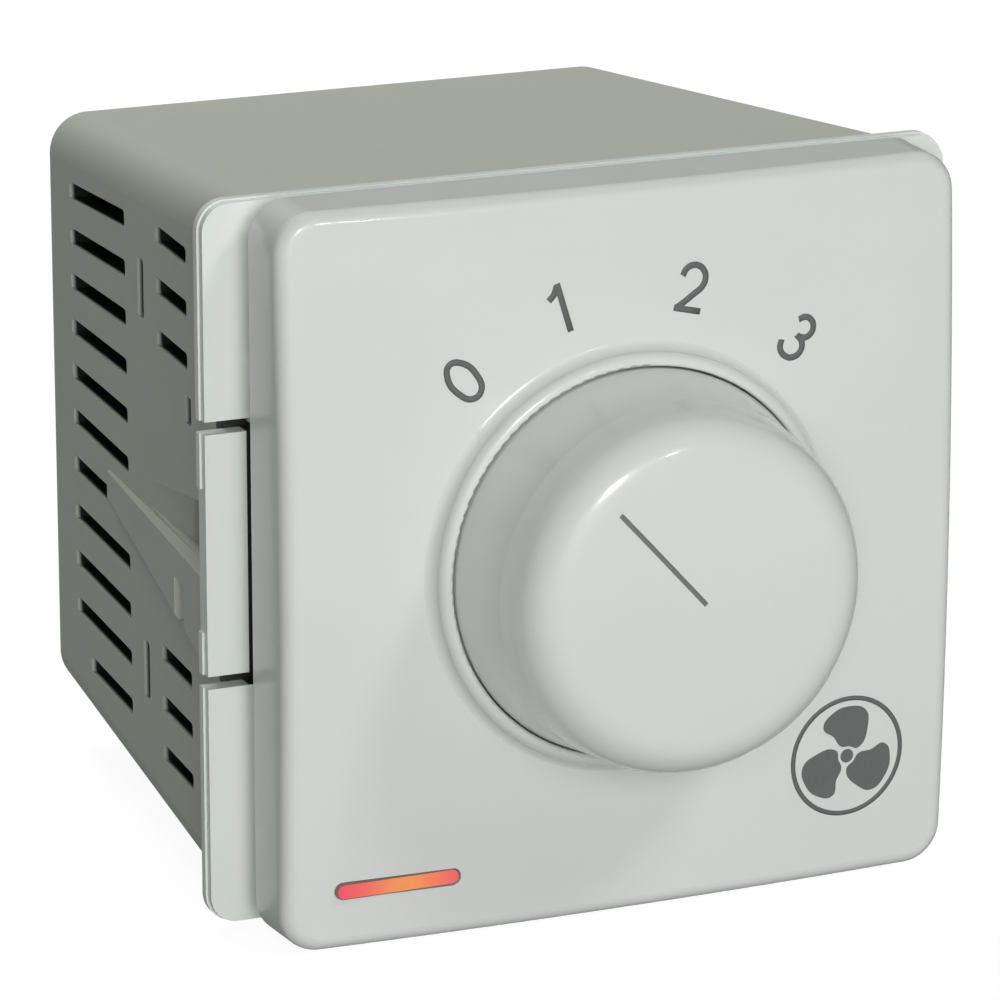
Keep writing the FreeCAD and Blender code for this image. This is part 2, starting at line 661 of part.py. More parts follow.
def shaft_circlip():
    """Open ring in the shaft's groove."""
    ring = rod(CLIP_R, CLIP_Y + 0.02, CLIP_Y + CLIP_T - 0.02).cut(rod(SHAFT_R - CLIP_GROOVE, CLIP_Y, CLIP_Y + CLIP_T))
    return ring.cut(block(-1.5, 1.5, CLIP_Y - 1.0, CLIP_Y + 1.0, -CLIP_R - 1.0, 0.0))


def rotor():
    """Disc on the shaft with one detent notch for each position."""
    disc = rod(ROTOR_R, ROTOR_Y, ROTOR_BACK_Y)
    ball_y = (ROTOR_Y + ROTOR_BACK_Y) / 2.0
    ball_r = ROTOR_R + BALL_GAP + BALL_R
    for i in range(STEPS):
        x, z = on_circle(ball_r - NOTCH_DEPTH, 180.0 - STEP_DEG * i)
        disc = disc.cut(Part.makeSphere(BALL_R + BALL_GAP, V(x, ball_y, z)))
    return disc.cut(shaft_section(ROTOR_Y - 1.0, ROTOR_BACK_Y + 1.0))


def wiper():
    """Sprung arm behind the rotor that joins the ring to one fixed contact."""
    hub = rod(RING_R1 + 0.4, ROTOR_BACK_Y, WIPER_BACK_Y)
    arm = block(-1.2, 1.2, ROTOR_BACK_Y, WIPER_BACK_Y, 0.0, CONTACT_RADIUS)
    end = rod(1.2, ROTOR_BACK_Y, WIPER_BACK_Y, 0.0, CONTACT_RADIUS)
    tip = rod(0.7, WIPER_BACK_Y - 0.1, CONTACT_Y - TOUCH_GAP, 0.0, CONTACT_RADIUS)
    heel = rod(0.6, WIPER_BACK_Y - 0.1, CONTACT_Y - TOUCH_GAP, 0.0, -(RING_R0 + RING_R1) / 2.0)
    arm = hub.fuse([arm, end, tip, heel])
    arm.rotate(V(0, 0, 0), AXIS, FIRST_DEG)
    return arm.cut(shaft_section(ROTOR_BACK_Y - 1.0, WIPER_BACK_Y + 1.0))


def switch_body():
    """Round case with the detent's tower and bore."""
    case = rod(CASE_R, 0.0, CASE_D).cut(rod(CASE_R - CASE_WALL, CASE_FLOOR, CASE_D + 1.0))
    ball_y = (ROTOR_Y + ROTOR_BACK_Y) / 2.0
    depth = ROTOR_R + 2 * BALL_R + SPRING_L
    tower = block(-3.2, 3.2, 0.0, CASE_D - 1.5, -depth - 1.0, -CASE_R + 1.5)
    guide = rod(3.0, CASE_FLOOR - 0.5, CASE_D - 1.5, 0.0, -CASE_R + 2.2)
    case = case.fuse([tower, guide.common(rod(CASE_R, 0.0, CASE_D))])
    case = case.cut(rod(ROTOR_R + 0.4, CASE_FLOOR, CASE_D + 1.0))
    bore = Part.makeCylinder(BALL_R + 0.1, depth - ROTOR_R + 1.0, V(0, ball_y, -depth), V(0, 0, 1))
    return case.cut(bore).cut(rod(BUSH_R + HOLE_GAP, -1.0, CASE_FLOOR + 1.0))


def detent_place():
    """Middle of the detent ball, just clear of the rotor's lands."""
    return V(0, (ROTOR_Y + ROTOR_BACK_Y) / 2.0, -(ROTOR_R + BALL_GAP + BALL_R))


def detent_ball():
    """Click ball."""
    return Part.makeSphere(BALL_R, detent_place())


def detent_spring():
    """Compression spring behind the ball."""
    top = detent_place() - V(0, 0, BALL_R + SPRING_WIRE)
    low = -(ROTOR_R + 2 * BALL_R + SPRING_L) + SPRING_WIRE
    coil_r = BALL_R - SPRING_WIRE - 0.05
    pitch = (top.z - low) / SPRING_TURNS
    helix = Part.makeHelix(pitch, top.z - low, coil_r)
    helix.translate(V(0, top.y, low))
    start = helix.Edges[0].valueAt(helix.Edges[0].FirstParameter)
    circle = Part.Wire(Part.Circle(start, V(0, 1, 0), SPRING_WIRE).toShape())
    return Part.Wire(helix.Edges).makePipeShell([circle], True, True)


def switch_bushing():
    """Brass neck through the frame, flanged inside the case."""
    neck = rod(BUSH_R, BUSH_FRONT_Y, CASE_FLOOR)
    chamfered = neck.makeChamfer(0.4, [e for e in neck.Edges if e.BoundBox.YMax < BUSH_FRONT_Y + 0.01])
    bushing = chamfered.fuse(rod(BUSH_FLANGE_R, CASE_FLOOR, FLANGE_BACK_Y))
    return bushing.cut(rod(SHAFT_R + SHAFT_GAP, BUSH_FRONT_Y - 1.0, FLANGE_BACK_Y + 1.0))


def lock_washer():
    """Toothed ring under the nut."""
    ring = rod(WASHER_R, FRAME_Y - WASHER_T, FRAME_Y)
    for i in range(12):
        x, z = on_circle(WASHER_R, 30.0 * i)
        ring = ring.cut(rod(0.7, FRAME_Y - 2.0, FRAME_Y + 1.0, x, z))
    return ring.cut(rod(BUSH_R + HOLE_GAP, FRAME_Y - 2.0, FRAME_Y + 1.0))


def switch_nut():
    """Hexagon nut on the bushing."""
    back = FRAME_Y - WASHER_T
    flats = []
    for i in range(7):
        x, z = on_circle(NUT_AF / math.sqrt(3.0), 60.0 * i)
        flats.append(V(x, back - NUT_T, z))
    nut = Part.Face(Part.makePolygon(flats)).extrude(V(0, NUT_T, 0))
    return nut.cut(rod(BUSH_R + HOLE_GAP / 2.0, back - NUT_T - 1.0, back + 1.0))


def contact_carrier():
    """Disc that closes the case and holds the contacts."""
    disc = rod(CASE_R, CARRIER_Y, CARRIER_Y + CARRIER_T)
    disc = disc.cut(rod(SHAFT_R - SHAFT_FLAT - 0.1 + SHAFT_GAP, CARRIER_Y - 1.0, CARRIER_Y + CARRIER_T + 1.0))
    for x, z in contact_places() + [common_place()]:
        disc = disc.cut(rod(CONTACT_PIN_R, CARRIER_Y - 1.0, CARRIER_Y + CARRIER_T + 1.0, x, z))
    return disc


def contact_places():
    """X and Z of the fixed contacts."""
    return [on_circle(CONTACT_RADIUS, FIRST_DEG + STEP_DEG * i) for i in range(STEPS)]


def common_place():
    """X and Z of the ring contact's tail."""
    return on_circle((RING_R0 + RING_R1) / 2.0, 180.0)


def pin(x, z):
    """Contact tail through the carrier to the board."""
    return rod(CONTACT_PIN_R, CARRIER_Y - 0.2, BOARD_Y, x, z)


def fixed_contacts():
    """Four studs with tails to the board."""
    heads = [rod(CONTACT_R, CONTACT_Y, CARRIER_Y, x, z).fuse(pin(x, z)) for x, z in contact_places()]
    return Part.makeCompound(heads)


def common_contact():
    """Contact ring with a tail to the board."""
    ring = rod(RING_R1, CONTACT_Y, CARRIER_Y).cut(rod(RING_R0, CONTACT_Y - 1.0, CARRIER_Y + 1.0))
    return ring.fuse(pin(*common_place()))


def circuit_board():
    """Board held by four screws."""
    board = plate(BOARD_W, BOARD_H, 1.0, BOARD_Y, BOARD_BACK_Y)
    for x, z in corners(POST_X, POST_Z):
        board = board.cut(rod(FASTENER_R + 0.15, BOARD_Y - 1.0, BOARD_BACK_Y + 1.0, x, z))
    return board


def speed_capacitor(z):
    """Box capacitor with rounded edges, standing on the back of the board."""
    body = block(-CAP_W / 2.0, CAP_W / 2.0, BOARD_BACK_Y, BOARD_BACK_Y + CAP_D, z - CAP_H / 2.0, z + CAP_H / 2.0)
    rear = [edge for edge in body.Edges if edge.BoundBox.YMax > BOARD_BACK_Y + 0.01]
    return body.makeFillet(0.6, rear)


def speed_capacitor_1():
    """Upper capacitor."""
    return speed_capacitor(CAP_Z)


def speed_capacitor_2():
    """Lower capacitor."""
    return speed_capacitor(-CAP_Z)


def axial_resistor(radius, length, x, y, z):
    """Body along X with two leads bent to the board's front."""
    reach = length / 2.0 + LEAD_OUT
    parts = [cross_rod(LEAD_R, 2 * (reach + LEAD_R), x, y, z)]
    for side in (-1, 1):
        parts.append(rod(LEAD_BEND_R, y - LEAD_BEND_R, BOARD_Y, x + side * reach, z))
    return cross_rod(radius, length, x, y, z).fuse(parts)


def bleed_resistors():
    """Two small resistors at the sides of the board."""
    y = BOARD_Y - RESISTOR_R - RESISTOR_LIFT
    x = POST_X - BLEED_FROM_POST
    return Part.makeCompound([axial_resistor(RESISTOR_R, BLEED_L, side * x, y, BLEED_Z) for side in (-1, 1)])


def surge_resistors():
    """Two cement resistors across the middle of the board."""
    y = BOARD_Y - BIG_RESISTOR_R - RESISTOR_LIFT
    return Part.makeCompound([axial_resistor(BIG_RESISTOR_R, BIG_RESISTOR_L, 0.0, y, z) for z in SURGE_Z])


def neon_lamp():
    """Lamp behind the lens, with leads bent up and back through the frame."""
    body = cross_rod(LAMP_R, LAMP_L, LENS_X, LAMP_Y, LENS_Z)
    body = body.makeFillet(LAMP_R * 0.6, body.Edges)
    out = LAMP_L / 2.0 + LAMP_LEAD_OUT
    parts = [cross_rod(LEAD_R, 2 * (out + LEAD_R), LENS_X, LAMP_Y, LENS_Z)]
    low, high = sorted((LENS_Z, LEAD_Z))
    for side in (-1, 1):
        x = LENS_X + side * out
        riser = Part.makeCylinder(LEAD_BEND_R, high - low + 2 * LEAD_BEND_R, V(x, LAMP_Y, low - LEAD_BEND_R),
                                  V(0, 0, 1))
        parts.append(riser)
        parts.append(rod(LEAD_R, LAMP_Y, RIM_H, x, LEAD_Z))
    return body.fuse(parts)


def lamp_resistor():
    """Resistor on the back of the frame, in line with the lamp's inner lead."""
    lead_x = LENS_X + LAMP_L / 2.0 + LAMP_LEAD_OUT
    y = RESISTOR_R + RESISTOR_LIFT
    x = lead_x + 2 * LEAD_R + LEAD_OUT / 2.0 + RESISTOR_L / 2.0
    return cross_rod(RESISTOR_R, RESISTOR_L, x, y, LEAD_Z).fuse(
        cross_rod(LEAD_R, RESISTOR_L + LEAD_OUT, x, y, LEAD_Z))


def terminal_x():
    """X of each terminal."""
    return [TERMINAL_PITCH * (i - (TERMINAL_COUNT - 1) / 2.0) for i in range(TERMINAL_COUNT)]


def terminal_block():
    """Moulded block with screw wells, wire entries and rooms for the clamps."""
    front = REAR_Y - TERMINAL_D
    body = plate(TERMINAL_W, TERMINAL_H, 0.6, front, REAR_Y)
    ledge = plate(TERMINAL_W + 2 * TERMINAL_LEDGE, TERMINAL_H + 2 * TERMINAL_LEDGE, 0.6, REAR_IN_Y - 1.2, REAR_IN_Y)
    body = body.fuse(ledge)
    for x in terminal_x():
        body = body.cut(block(x - CLAMP_W / 2.0 - 0.1, x + CLAMP_W / 2.0 + 0.1, front - 1.0, front + CLAMP_D + 0.1,
                              -TERMINAL_H / 2.0 + 1.0, TERMINAL_H / 2.0 - 1.0))
        body = body.cut(rod(SCREW_WELL_R, front, REAR_Y + 1.0, x, SCREW_Z))
        body = body.cut(rod(WIRE_ENTRY_R, front, REAR_Y + 1.0, x, ENTRY_Z))
    return body


def terminal_clamps():
    """Bent brass cages behind the wire entries."""
    front = REAR_Y - TERMINAL_D
    low = -TERMINAL_H / 2.0 + 1.1
    high = TERMINAL_H / 2.0 - 1.1
    cages = []
    for x in terminal_x():
        cage = block(x - CLAMP_W / 2.0, x + CLAMP_W / 2.0, front, front + CLAMP_D, low, high)
        cage = cage.cut(block(x - CLAMP_W, x + CLAMP_W, front + CLAMP_T, front + CLAMP_D - CLAMP_T,
                              low + CLAMP_T, high + 1.0))
        cages.append(cage.cut(rod(FASTENER_R, front - 1.0, front + CLAMP_D + 1.0, x, SCREW_Z))
                     .cut(rod(WIRE_ENTRY_R, front + CLAMP_T, front + CLAMP_D + 1.0, x, ENTRY_Z)))
    return Part.makeCompound(cages)


def slotted_screw(radius, head_r, head_t, y_head, y_tip, x, z):
    """Pan-head screw that faces the rear, with a driver slot; the tip is at the lower y."""
    head = rod(head_r, y_head - head_t, y_head, x, z)
    head = head.makeFillet(head_t * 0.4, [e for e in head.Edges if e.BoundBox.YMin > y_head - 0.01])
    screw = head.fuse(rod(radius, y_tip, y_head - head_t, x, z))
    return screw.cut(block(x - head_r - 1.0, x + head_r + 1.0, y_head - head_t * 0.45, y_head + 1.0,
                           z - SLOT_W / 2.0, z + SLOT_W / 2.0))


def terminal_screws():
    """Wire clamp screws."""
    front = REAR_Y - TERMINAL_D
    head_y = front + CLAMP_D + HEAD_T
    made = [slotted_screw(FASTENER_R, SCREW_WELL_R - 0.2, HEAD_T, head_y, front - 1.0, x, SCREW_Z)
            for x in terminal_x()]
    return Part.makeCompound(made)


def housing_screws():
    """Four screws that hold the housing to the frame's bosses."""
    head_y = HOUSING_D - HEAD_SUNK
    made = [slotted_screw(FASTENER_R - 0.02, HEAD_R, HEAD_T, head_y, 0.0, x, z) for x, z in corners(TUBE_X, TUBE_Z)]
    return Part.makeCompound(made)


def board_screws():
    """Short screws that enter the posts from the front of the board."""
    made = []
    for x, z in corners(POST_X, POST_Z):
        screw = slotted_screw(FASTENER_R - 0.02, HEAD_R, HEAD_T, 0.0, -BOARD_SCREW_L, 0.0, 0.0)
        screw.rotate(V(0, 0, 0), V(0, 0, 1), 180)
        screw.translate(V(x, BOARD_Y - HEAD_T, z))
        made.append(screw)
    return Part.makeCompound(made)


PIECES = [
    front_cover, indicator_lens, mounting_frame, rear_housing, knob, knob_spring_clip, switch_shaft,
    shaft_circlip, rotor, wiper, switch_body, contact_carrier, switch_bushing, switch_nut, lock_washer,
    fixed_contacts, common_contact, detent_ball, detent_spring, circuit_board, speed_capacitor_1,
    speed_capacitor_2, bleed_resistors, surge_resistors, neon_lamp, lamp_resistor, terminal_block,
    terminal_clamps, terminal_screws, board_screws, housing_screws,
]


def main():
    """Write each piece, moved so that the origin is under the middle of the object."""
    os.makedirs("parts", exist_ok=True)
    shift = V(0, -(KNOB_FRONT_Y + REAR_Y) / 2.0, COVER_H / 2.0)
    for piece in PIECES:
        shape = piece()
        shape.translate(shift)
        print(piece.__name__, len(shape.Solids), shape.isValid(), round(shape.Volume, 2))
        shape.exportStep("parts/" + piece.__name__ + ".step")
    print("moved by", shift)


main()
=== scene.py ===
"""Dresses a rotary fan speed control: finishes for every piece, the printed dial and fan symbol,
the painted pointer, the lit bar and a pale studio with the camera of the reference view."""

import json
import math

import bpy
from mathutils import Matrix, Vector
from mathutils.bvhtree import BVHTree


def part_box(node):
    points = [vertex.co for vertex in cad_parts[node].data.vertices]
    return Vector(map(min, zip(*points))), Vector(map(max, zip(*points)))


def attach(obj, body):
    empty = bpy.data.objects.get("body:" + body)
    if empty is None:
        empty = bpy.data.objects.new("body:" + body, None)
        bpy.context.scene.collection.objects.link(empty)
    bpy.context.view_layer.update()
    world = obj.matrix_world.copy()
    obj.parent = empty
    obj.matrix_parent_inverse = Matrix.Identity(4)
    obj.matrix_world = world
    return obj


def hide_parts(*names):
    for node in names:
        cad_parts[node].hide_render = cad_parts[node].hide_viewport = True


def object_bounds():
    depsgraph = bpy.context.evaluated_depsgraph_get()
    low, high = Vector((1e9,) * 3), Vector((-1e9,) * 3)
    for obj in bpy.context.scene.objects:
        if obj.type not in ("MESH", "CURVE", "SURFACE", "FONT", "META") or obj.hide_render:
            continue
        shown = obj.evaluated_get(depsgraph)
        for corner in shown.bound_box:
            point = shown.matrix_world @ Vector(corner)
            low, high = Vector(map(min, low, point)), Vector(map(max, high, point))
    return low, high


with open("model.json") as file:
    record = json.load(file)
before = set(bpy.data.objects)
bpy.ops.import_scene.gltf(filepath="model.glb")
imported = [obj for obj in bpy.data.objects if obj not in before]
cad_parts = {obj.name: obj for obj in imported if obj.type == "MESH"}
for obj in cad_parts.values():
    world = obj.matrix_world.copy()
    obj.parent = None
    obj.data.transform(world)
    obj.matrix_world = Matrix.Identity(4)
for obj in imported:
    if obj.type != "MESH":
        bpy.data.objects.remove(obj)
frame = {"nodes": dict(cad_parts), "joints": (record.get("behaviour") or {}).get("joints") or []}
CAD_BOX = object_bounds()

bl_info = {
    "name": "Fan Control Dressing",
    "version": (1, 0, 0),
    "blender": (4, 5, 0),
    "location": "View3D > Sidebar > Fan Control",
    "description": "Finishes, printed marks and studio for a rotary fan speed control",
    "category": "Object",
}

MM = 0.001
HINGE = frame["joints"][0]
KNOB_AXIS = Vector(HINGE["pos_m"])
KNOB_TRAVEL = math.radians(HINGE["range_deg"][1])
FACE_OUT = Vector((0, -1, 0))

# Each numeral's angle from the top, clockwise in degrees, and how many millimetres outwards it stands.
NUMERALS = {"0": (-41.8, -0.4), "1": (-16.2, -0.12), "2": (13.75, 0.2), "3": (41.35, 0.08)}

# The lens: the straight part between its round ends, and where its dark rim of painted shade, for the gap round
# the lens, begins.
LENS_STRAIGHT = 7.85 * MM
LENS_RIM = 0.49 * MM

# The housing at its front: half width, draft, corner rounding, and the recess round its snap wedge.
HOUSING_HALF_W = 25.825 * MM
HOUSING_SLOPE = math.tan(math.radians(4.2))
HOUSING_CORNER = 2.9 * MM
RECESS_MIDDLE = 23.6 * MM
RECESS_HALF = 6.4 * MM
RECESS_END = 10.2 * MM
RECESS_DEPTH = 0.47 * MM

# How far below the skin the painted shade in the vents starts and how far it takes to full, and the same for the
# wells.
VENT_START = 0.14 * MM
VENT_FADE = 0.25 * MM
WELL_START = 0.3 * MM
WELL_FADE = 1.0 * MM

# The slots between the frame's grips, and the seam behind the middle grips, where painted shade goes.
SLOTS_MIDDLE = 26.75 * MM
SLOTS_APART = 17.8 * MM
SLOT_SHADE_HALF_H = 0.7 * MM
SLOT_SHADE_DEPTH = 1.2 * MM
SEAM_HALF_W = 24.55 * MM
SEAM_HALF_H = 9.8 * MM
SEAM_BEHIND = 0.06 * MM
FLANGE_FACE = -12.775 * MM

# The knob's profile: radii at its base and shoulder, the taper's depth, the face's crown, and the rounding
# of its edge in the source and as the photo shows it. Its skin is what the stand-in moves.
KNOB_BASE = 13.5 * MM
KNOB_SHOULDER = 12.5 * MM
KNOB_COLLAR = 10.45 * MM
KNOB_CROWN = 0.35 * MM
KNOB_EDGE = 4.6 * MM
KNOB_TIGHT_EDGE = 3.0 * MM
KNOB_SKIN = 0.7 * MM
REACH_STEP = 0.002 * MM

# The roughness of a moulding's polish, where nothing else is given.
HAZE = 0.07

# The camera of the reference view.
CAMERA_AT = Vector((-0.16061, -0.36886, 0.14084))
CAMERA_TOWARDS = Vector((0.38246, 0.88115, -0.27855))
CAMERA_LENS = 212.98


def linear(red, green, blue):
    """A screen colour of 0 to 255 in each channel, as Blender's linear colour."""
    shares = [channel / 255 for channel in (red, green, blue)]
    return tuple(s / 12.92 if s <= 0.04045 else ((s + 0.055) / 1.055) ** 2.4 for s in shares)


def length(name, description, millimetres):
    """A length property with its default in millimetres."""
    return bpy.props.FloatProperty(
        name=name, description=description, default=millimetres * MM, unit="LENGTH", subtype="DISTANCE"
    )


def colour(name, description, *screen):
    """A colour property with its default as a screen colour."""
    return bpy.props.FloatVectorProperty(
        name=name, description=description, default=linear(*screen), subtype="COLOR", size=3, min=0, max=1
    )


def power(name, description, watts):
    """A lamp's power."""
    return bpy.props.FloatProperty(name=name, description=description, default=watts, unit="POWER")


class FanControlPrint(bpy.types.PropertyGroup):
    """Sizes of what is printed on the cover and painted in the knob."""

    numeral_height: length("Numeral height", "Height of a printed numeral", 3.45)
    numeral_radius: length("Numeral radius", "From the knob's axis to the middle of a numeral", 18.65)
    numeral_line: length("Numeral line", "Line width of a numeral", 0.44)
    ink: length("Ink", "Thickness of the printed ink", 0.03)
    symbol_right: length("Symbol right", "From the knob's axis to the fan symbol, to the right", 16.84)
    symbol_down: length("Symbol down", "From the knob's axis to the fan symbol, downwards", 16.55)
    symbol_radius: length("Symbol radius", "Middle of the ring round the fan symbol", 4.24)
    symbol_line: length("Symbol line", "Line width of that ring", 0.34)
    pointer_length: length("Pointer length", "Length of the painted groove", 9.7)
    pointer_width: length("Pointer width", "Width of the paint in the groove", 0.32)
    pointer_sunk: length("Pointer sunk", "Depth of the paint's face below the knob's face", 0.05)


class FanControlColours(bpy.types.PropertyGroup):
    """Colours of the pieces that show."""

    cover: colour("Cover", "Polished white moulding of cover and knob", 222, 223, 221)
    mount: colour("Frame", "White moulding of the mounting frame", 228, 232, 227)
    housing: colour("Housing", "White moulding of the housing", 198, 199, 190)
    ink: colour("Ink", "Printing ink", 104, 106, 106)
    pointer: colour("Pointer", "Paint in the pointer groove", 118, 120, 112)


class FanControlStudio(bpy.types.PropertyGroup):
    """Light of the studio."""

    key_power: power("Key", "Large soft light in front and above, left out of reflections", 8.2)
    top_power: power("Top", "Soft light from above the rear, left out of reflections", 5.6)
    shade_power: power("Shade", "Small soft light above that draws the knob's shadow", 1.9)
    glint_power: power("Glint", "Small lamp that draws the highlights on the knob", 2.0)
    world_light: bpy.props.FloatProperty(
        name="World light", description="Strength of the even light from all round", default=0.08, min=0
    )


class Term:
    """A socket of a finish, so that shader sums read as Python expressions."""

    def __init__(self, finish, socket):
        self.finish = finish
        self.socket = socket

    def sum(self, operation, *terms):
        return self.finish.node("ShaderNodeMath", {"operation": operation}, dict(enumerate(terms)))

    def __add__(self, other):
        return self.sum("ADD", self, other)

    def __radd__(self, other):
        return self.sum("ADD", other, self)

    def __sub__(self, other):
        return self.sum("SUBTRACT", self, other)

    def __rsub__(self, other):
        return self.sum("SUBTRACT", other, self)

    def __mul__(self, other):
        return self.sum("MULTIPLY", self, other)

    def __rmul__(self, other):
        return self.sum("MULTIPLY", other, self)

    def __truediv__(self, other):
        return self.sum("DIVIDE", self, other)

    def __abs__(self):
        return self.sum("ABSOLUTE", self)

    def __gt__(self, other):
        return self.sum("GREATER_THAN", self, other)

    def __lt__(self, other):
        return self.sum("LESS_THAN", self, other)

    def root(self):
        return self.sum("SQRT", self)

    def least(self, other):
        return self.sum("MINIMUM", self, other)

    def most(self, other):
        return self.sum("MAXIMUM", self, other)


class Finish:
    """A material being mixed: its node tree, and one method that adds any node to it."""

    def __init__(self, owner):
        self.owner = owner
        owner.use_nodes = True
        self.tree = owner.node_tree
        self.tree.nodes.clear()

    def node(self, kind, settings=None, sockets=None, output=0):
        """Adds a node, sets it up, feeds its sockets and returns one of its outputs."""
        made = self.tree.nodes.new(kind)
        for name, setting in (settings or {}).items():
            if name == "stops":
                self.set_stops(made.color_ramp, setting)
            else:
                setattr(made, name, setting)
        for key, value in (sockets or {}).items():
            self.feed(made.inputs[key], value)
        return Term(self, made.outputs[output])

    def set_stops(self, ramp, stops):
        """Sets a ramp's stops from pairs of a place and a colour."""
        while len(ramp.elements) < len(stops):
            ramp.elements.new(1.0)
        for element, (place, tint) in zip(ramp.elements, stops):
            element.position = place
            element.color = (*tint, 1.0)

    def feed(self, socket, value):
        """Links a term to a socket, or sets the socket to a plain value."""
        if isinstance(value, Term):
            self.tree.links.new(value.socket, socket)
        elif socket.type == "RGBA" and len(value) == 3:
            socket.default_value = (*value, 1.0)
        else:
            socket.default_value = value

    def place(self, stretch=(1, 1, 1)):
        """Object coordinates, stretched along the axes."""
        spot = self.node("ShaderNodeTexCoord", output="Object")
        if stretch == (1, 1, 1):
            return spot
        return self.node("ShaderNodeMapping", sockets={"Vector": spot, "Scale": stretch})

    def axes(self):
        """Object coordinates as three terms, in metres."""
        spot = self.place()
        return [self.node("ShaderNodeSeparateXYZ", sockets={0: spot}, output=i) for i in range(3)]

    def noise(self, size, detail=2.0, stretch=(1, 1, 1)):
        """Soft noise from 0 to 1 whose lumps are about size metres across."""
        sockets = {"Vector": self.place(stretch), "Scale": 1 / size, "Detail": detail}
        return self.node("ShaderNodeTexNoise", sockets=sockets, output="Fac")

    def mix(self, share, first, second):
        """A colour between two colours or colour terms."""
        sockets = {0: share, 6: first, 7: second}
        return self.node("ShaderNodeMix", {"data_type": "RGBA"}, sockets, output=2)

    def bump(self, height, distance, below=None):
        """A normal from a height of 0 to 1 that stands distance metres at most."""
        sockets = {"Height": height, "Distance": distance, "Strength": 1.0}
        if below is not None:
            sockets["Normal"] = below
        return self.node("ShaderNodeBump", sockets=sockets)

    def shader(self, **sockets):
        """A Principled shader; a socket's name has underscores for spaces."""
        named = {name.replace("_", " ").replace("ior", "IOR"): value for name, value in sockets.items()}
        return self.node("ShaderNodeBsdfPrincipled", sockets=named)

    def close(self, surface, kind="ShaderNodeOutputMaterial"):
        """Joins the surface to the output and returns what the finish belongs to."""
        output = self.tree.nodes.new(kind)
        self.feed(output.inputs["Surface"], surface)
        return self.owner


def new_finish(name):
    """An empty finish for a new material."""
    return Finish(bpy.data.materials.new(name))


def tinted(tone, factor):
    """A colour made lighter or darker by a factor."""
    return tuple(min(1.0, channel * factor) for channel in tone)


def moulding(name, tone, roughness, grain, grain_size, wave, coat=0.0, painted_shade=None, haze=HAZE):
    """Moulded plastic: faint clouds of tone, flow waves from the mould and a fine spark grain.

    Painted shade is a function that gives, from 0 to 1, how much painted dark shade goes in the base colour at a
    place. Haze is the roughness of the polish.
    """
    mix = new_finish(name)
    clouds = mix.noise(9 * MM, 3.0)
    flow = mix.noise(2.2 * MM, 2.0, (1.0, 0.45, 1.0))
    base = mix.mix(clouds, tinted(tone, 0.965), tinted(tone, 1.03))
    base = mix.mix(flow * 0.35, base, tinted(tone, 0.985))
    # Painted shade: the base colour turns near black where the mask puts shade.
    if painted_shade is not None:
        base = mix.mix(painted_shade(mix), base, linear(38, 42, 38))
    waves = mix.bump(mix.noise(5.5 * MM, 1.0), wave)
    skin = mix.bump(mix.noise(grain_size, 4.0), grain, waves)
    gloss = roughness + 0.10 * (mix.noise(1.4 * MM, 4.0) - 0.5)
    return mix.close(
        mix.shader(
            Base_Color=base, Roughness=gloss, Normal=skin, ior=1.49, Coat_Weight=coat, Coat_Roughness=haze
        )
    )


def housing_painted_shade(mix):
    """Painted shade for the housing, from 0 on the skin to 1: dark in its vents, inside it and in the slots
    between the frame's grips.
    """
    low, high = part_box("rear_housing")
    across, along, upwards = mix.axes()
    narrowing = (along - low.y) * HOUSING_SLOPE
    side = (HOUSING_CORNER - HOUSING_HALF_W + narrowing + abs(across)).most(0.0)
    level = abs(upwards - (high.z + low.z) / 2) + narrowing - (high.z - low.z) / 2
    level = (level + HOUSING_CORNER).most(0.0)
    depth = HOUSING_CORNER - (side * side + level * level).root()
    rear = high.y - along
    recess = (abs(upwards - RECESS_MIDDLE) < RECESS_HALF) * (along < RECESS_END) * RECESS_DEPTH
    # Painted shade grows with the depth below the skin in the vents and inside the housing.
    vents = ((depth - recess - VENT_START) / VENT_FADE).most(0.0).least(1.0)
    wells = ((depth.least(rear) - WELL_START) / WELL_FADE).most(0.0).least(1.0)
    inside = mix.node("ShaderNodeMix", {"data_type": "FLOAT"}, {0: depth < rear, 2: wells, 3: vents})
    # Painted shade in the slots between the frame's grips.
    between_grips = abs(abs(upwards - SLOTS_MIDDLE) - SLOTS_APART / 2) < SLOT_SHADE_HALF_H
    return inside.most(between_grips * (along < low.y + SLOT_SHADE_DEPTH))


def seam_painted_shade(mix):
    """Painted shade: 1 in the seam behind the frame's middle grips and under the cover, else 0."""
    across, along, upwards = mix.axes()
    behind = (abs(across) < SEAM_HALF_W) * (along > FLANGE_FACE + SEAM_BEHIND)
    return behind * (abs(upwards - KNOB_AXIS.z) < SEAM_HALF_H)


def metal(name, tone, roughness, stretch, stain=0.85):
    """Drawn, turned or plated metal: hair lines along one axis and a few dull patches."""
    mix = new_finish(name)
    lines = mix.noise(0.12 * MM, 3.0, stretch)
    patches = mix.noise(1.6 * MM, 3.0)
    base = mix.mix(patches, tinted(tone, stain), tinted(tone, 1.06))
    gloss = roughness + 0.16 * (lines - 0.5) + 0.12 * patches
    skin = mix.bump(lines, 0.004 * MM)
    return mix.close(mix.shader(Base_Color=base, Roughness=gloss, Normal=skin, Metallic=1.0))


def phenolic(name, tone, roughness, fibre):
    """Pressed resin or laminate with short fibres in it."""
    mix = new_finish(name)
    fibres = mix.noise(fibre, 5.0, (1.0, 3.2, 1.0))
    specks = mix.noise(0.35 * MM, 2.0)
    base = mix.mix(fibres, tinted(tone, 0.75), tinted(tone, 1.3))
    base = mix.mix((specks > 0.66) * 0.35, base, tinted(tone, 1.7))
    skin = mix.bump(fibres, 0.015 * MM)
    return mix.close(mix.shader(Base_Color=base, Roughness=roughness + 0.15 * fibres, Normal=skin))


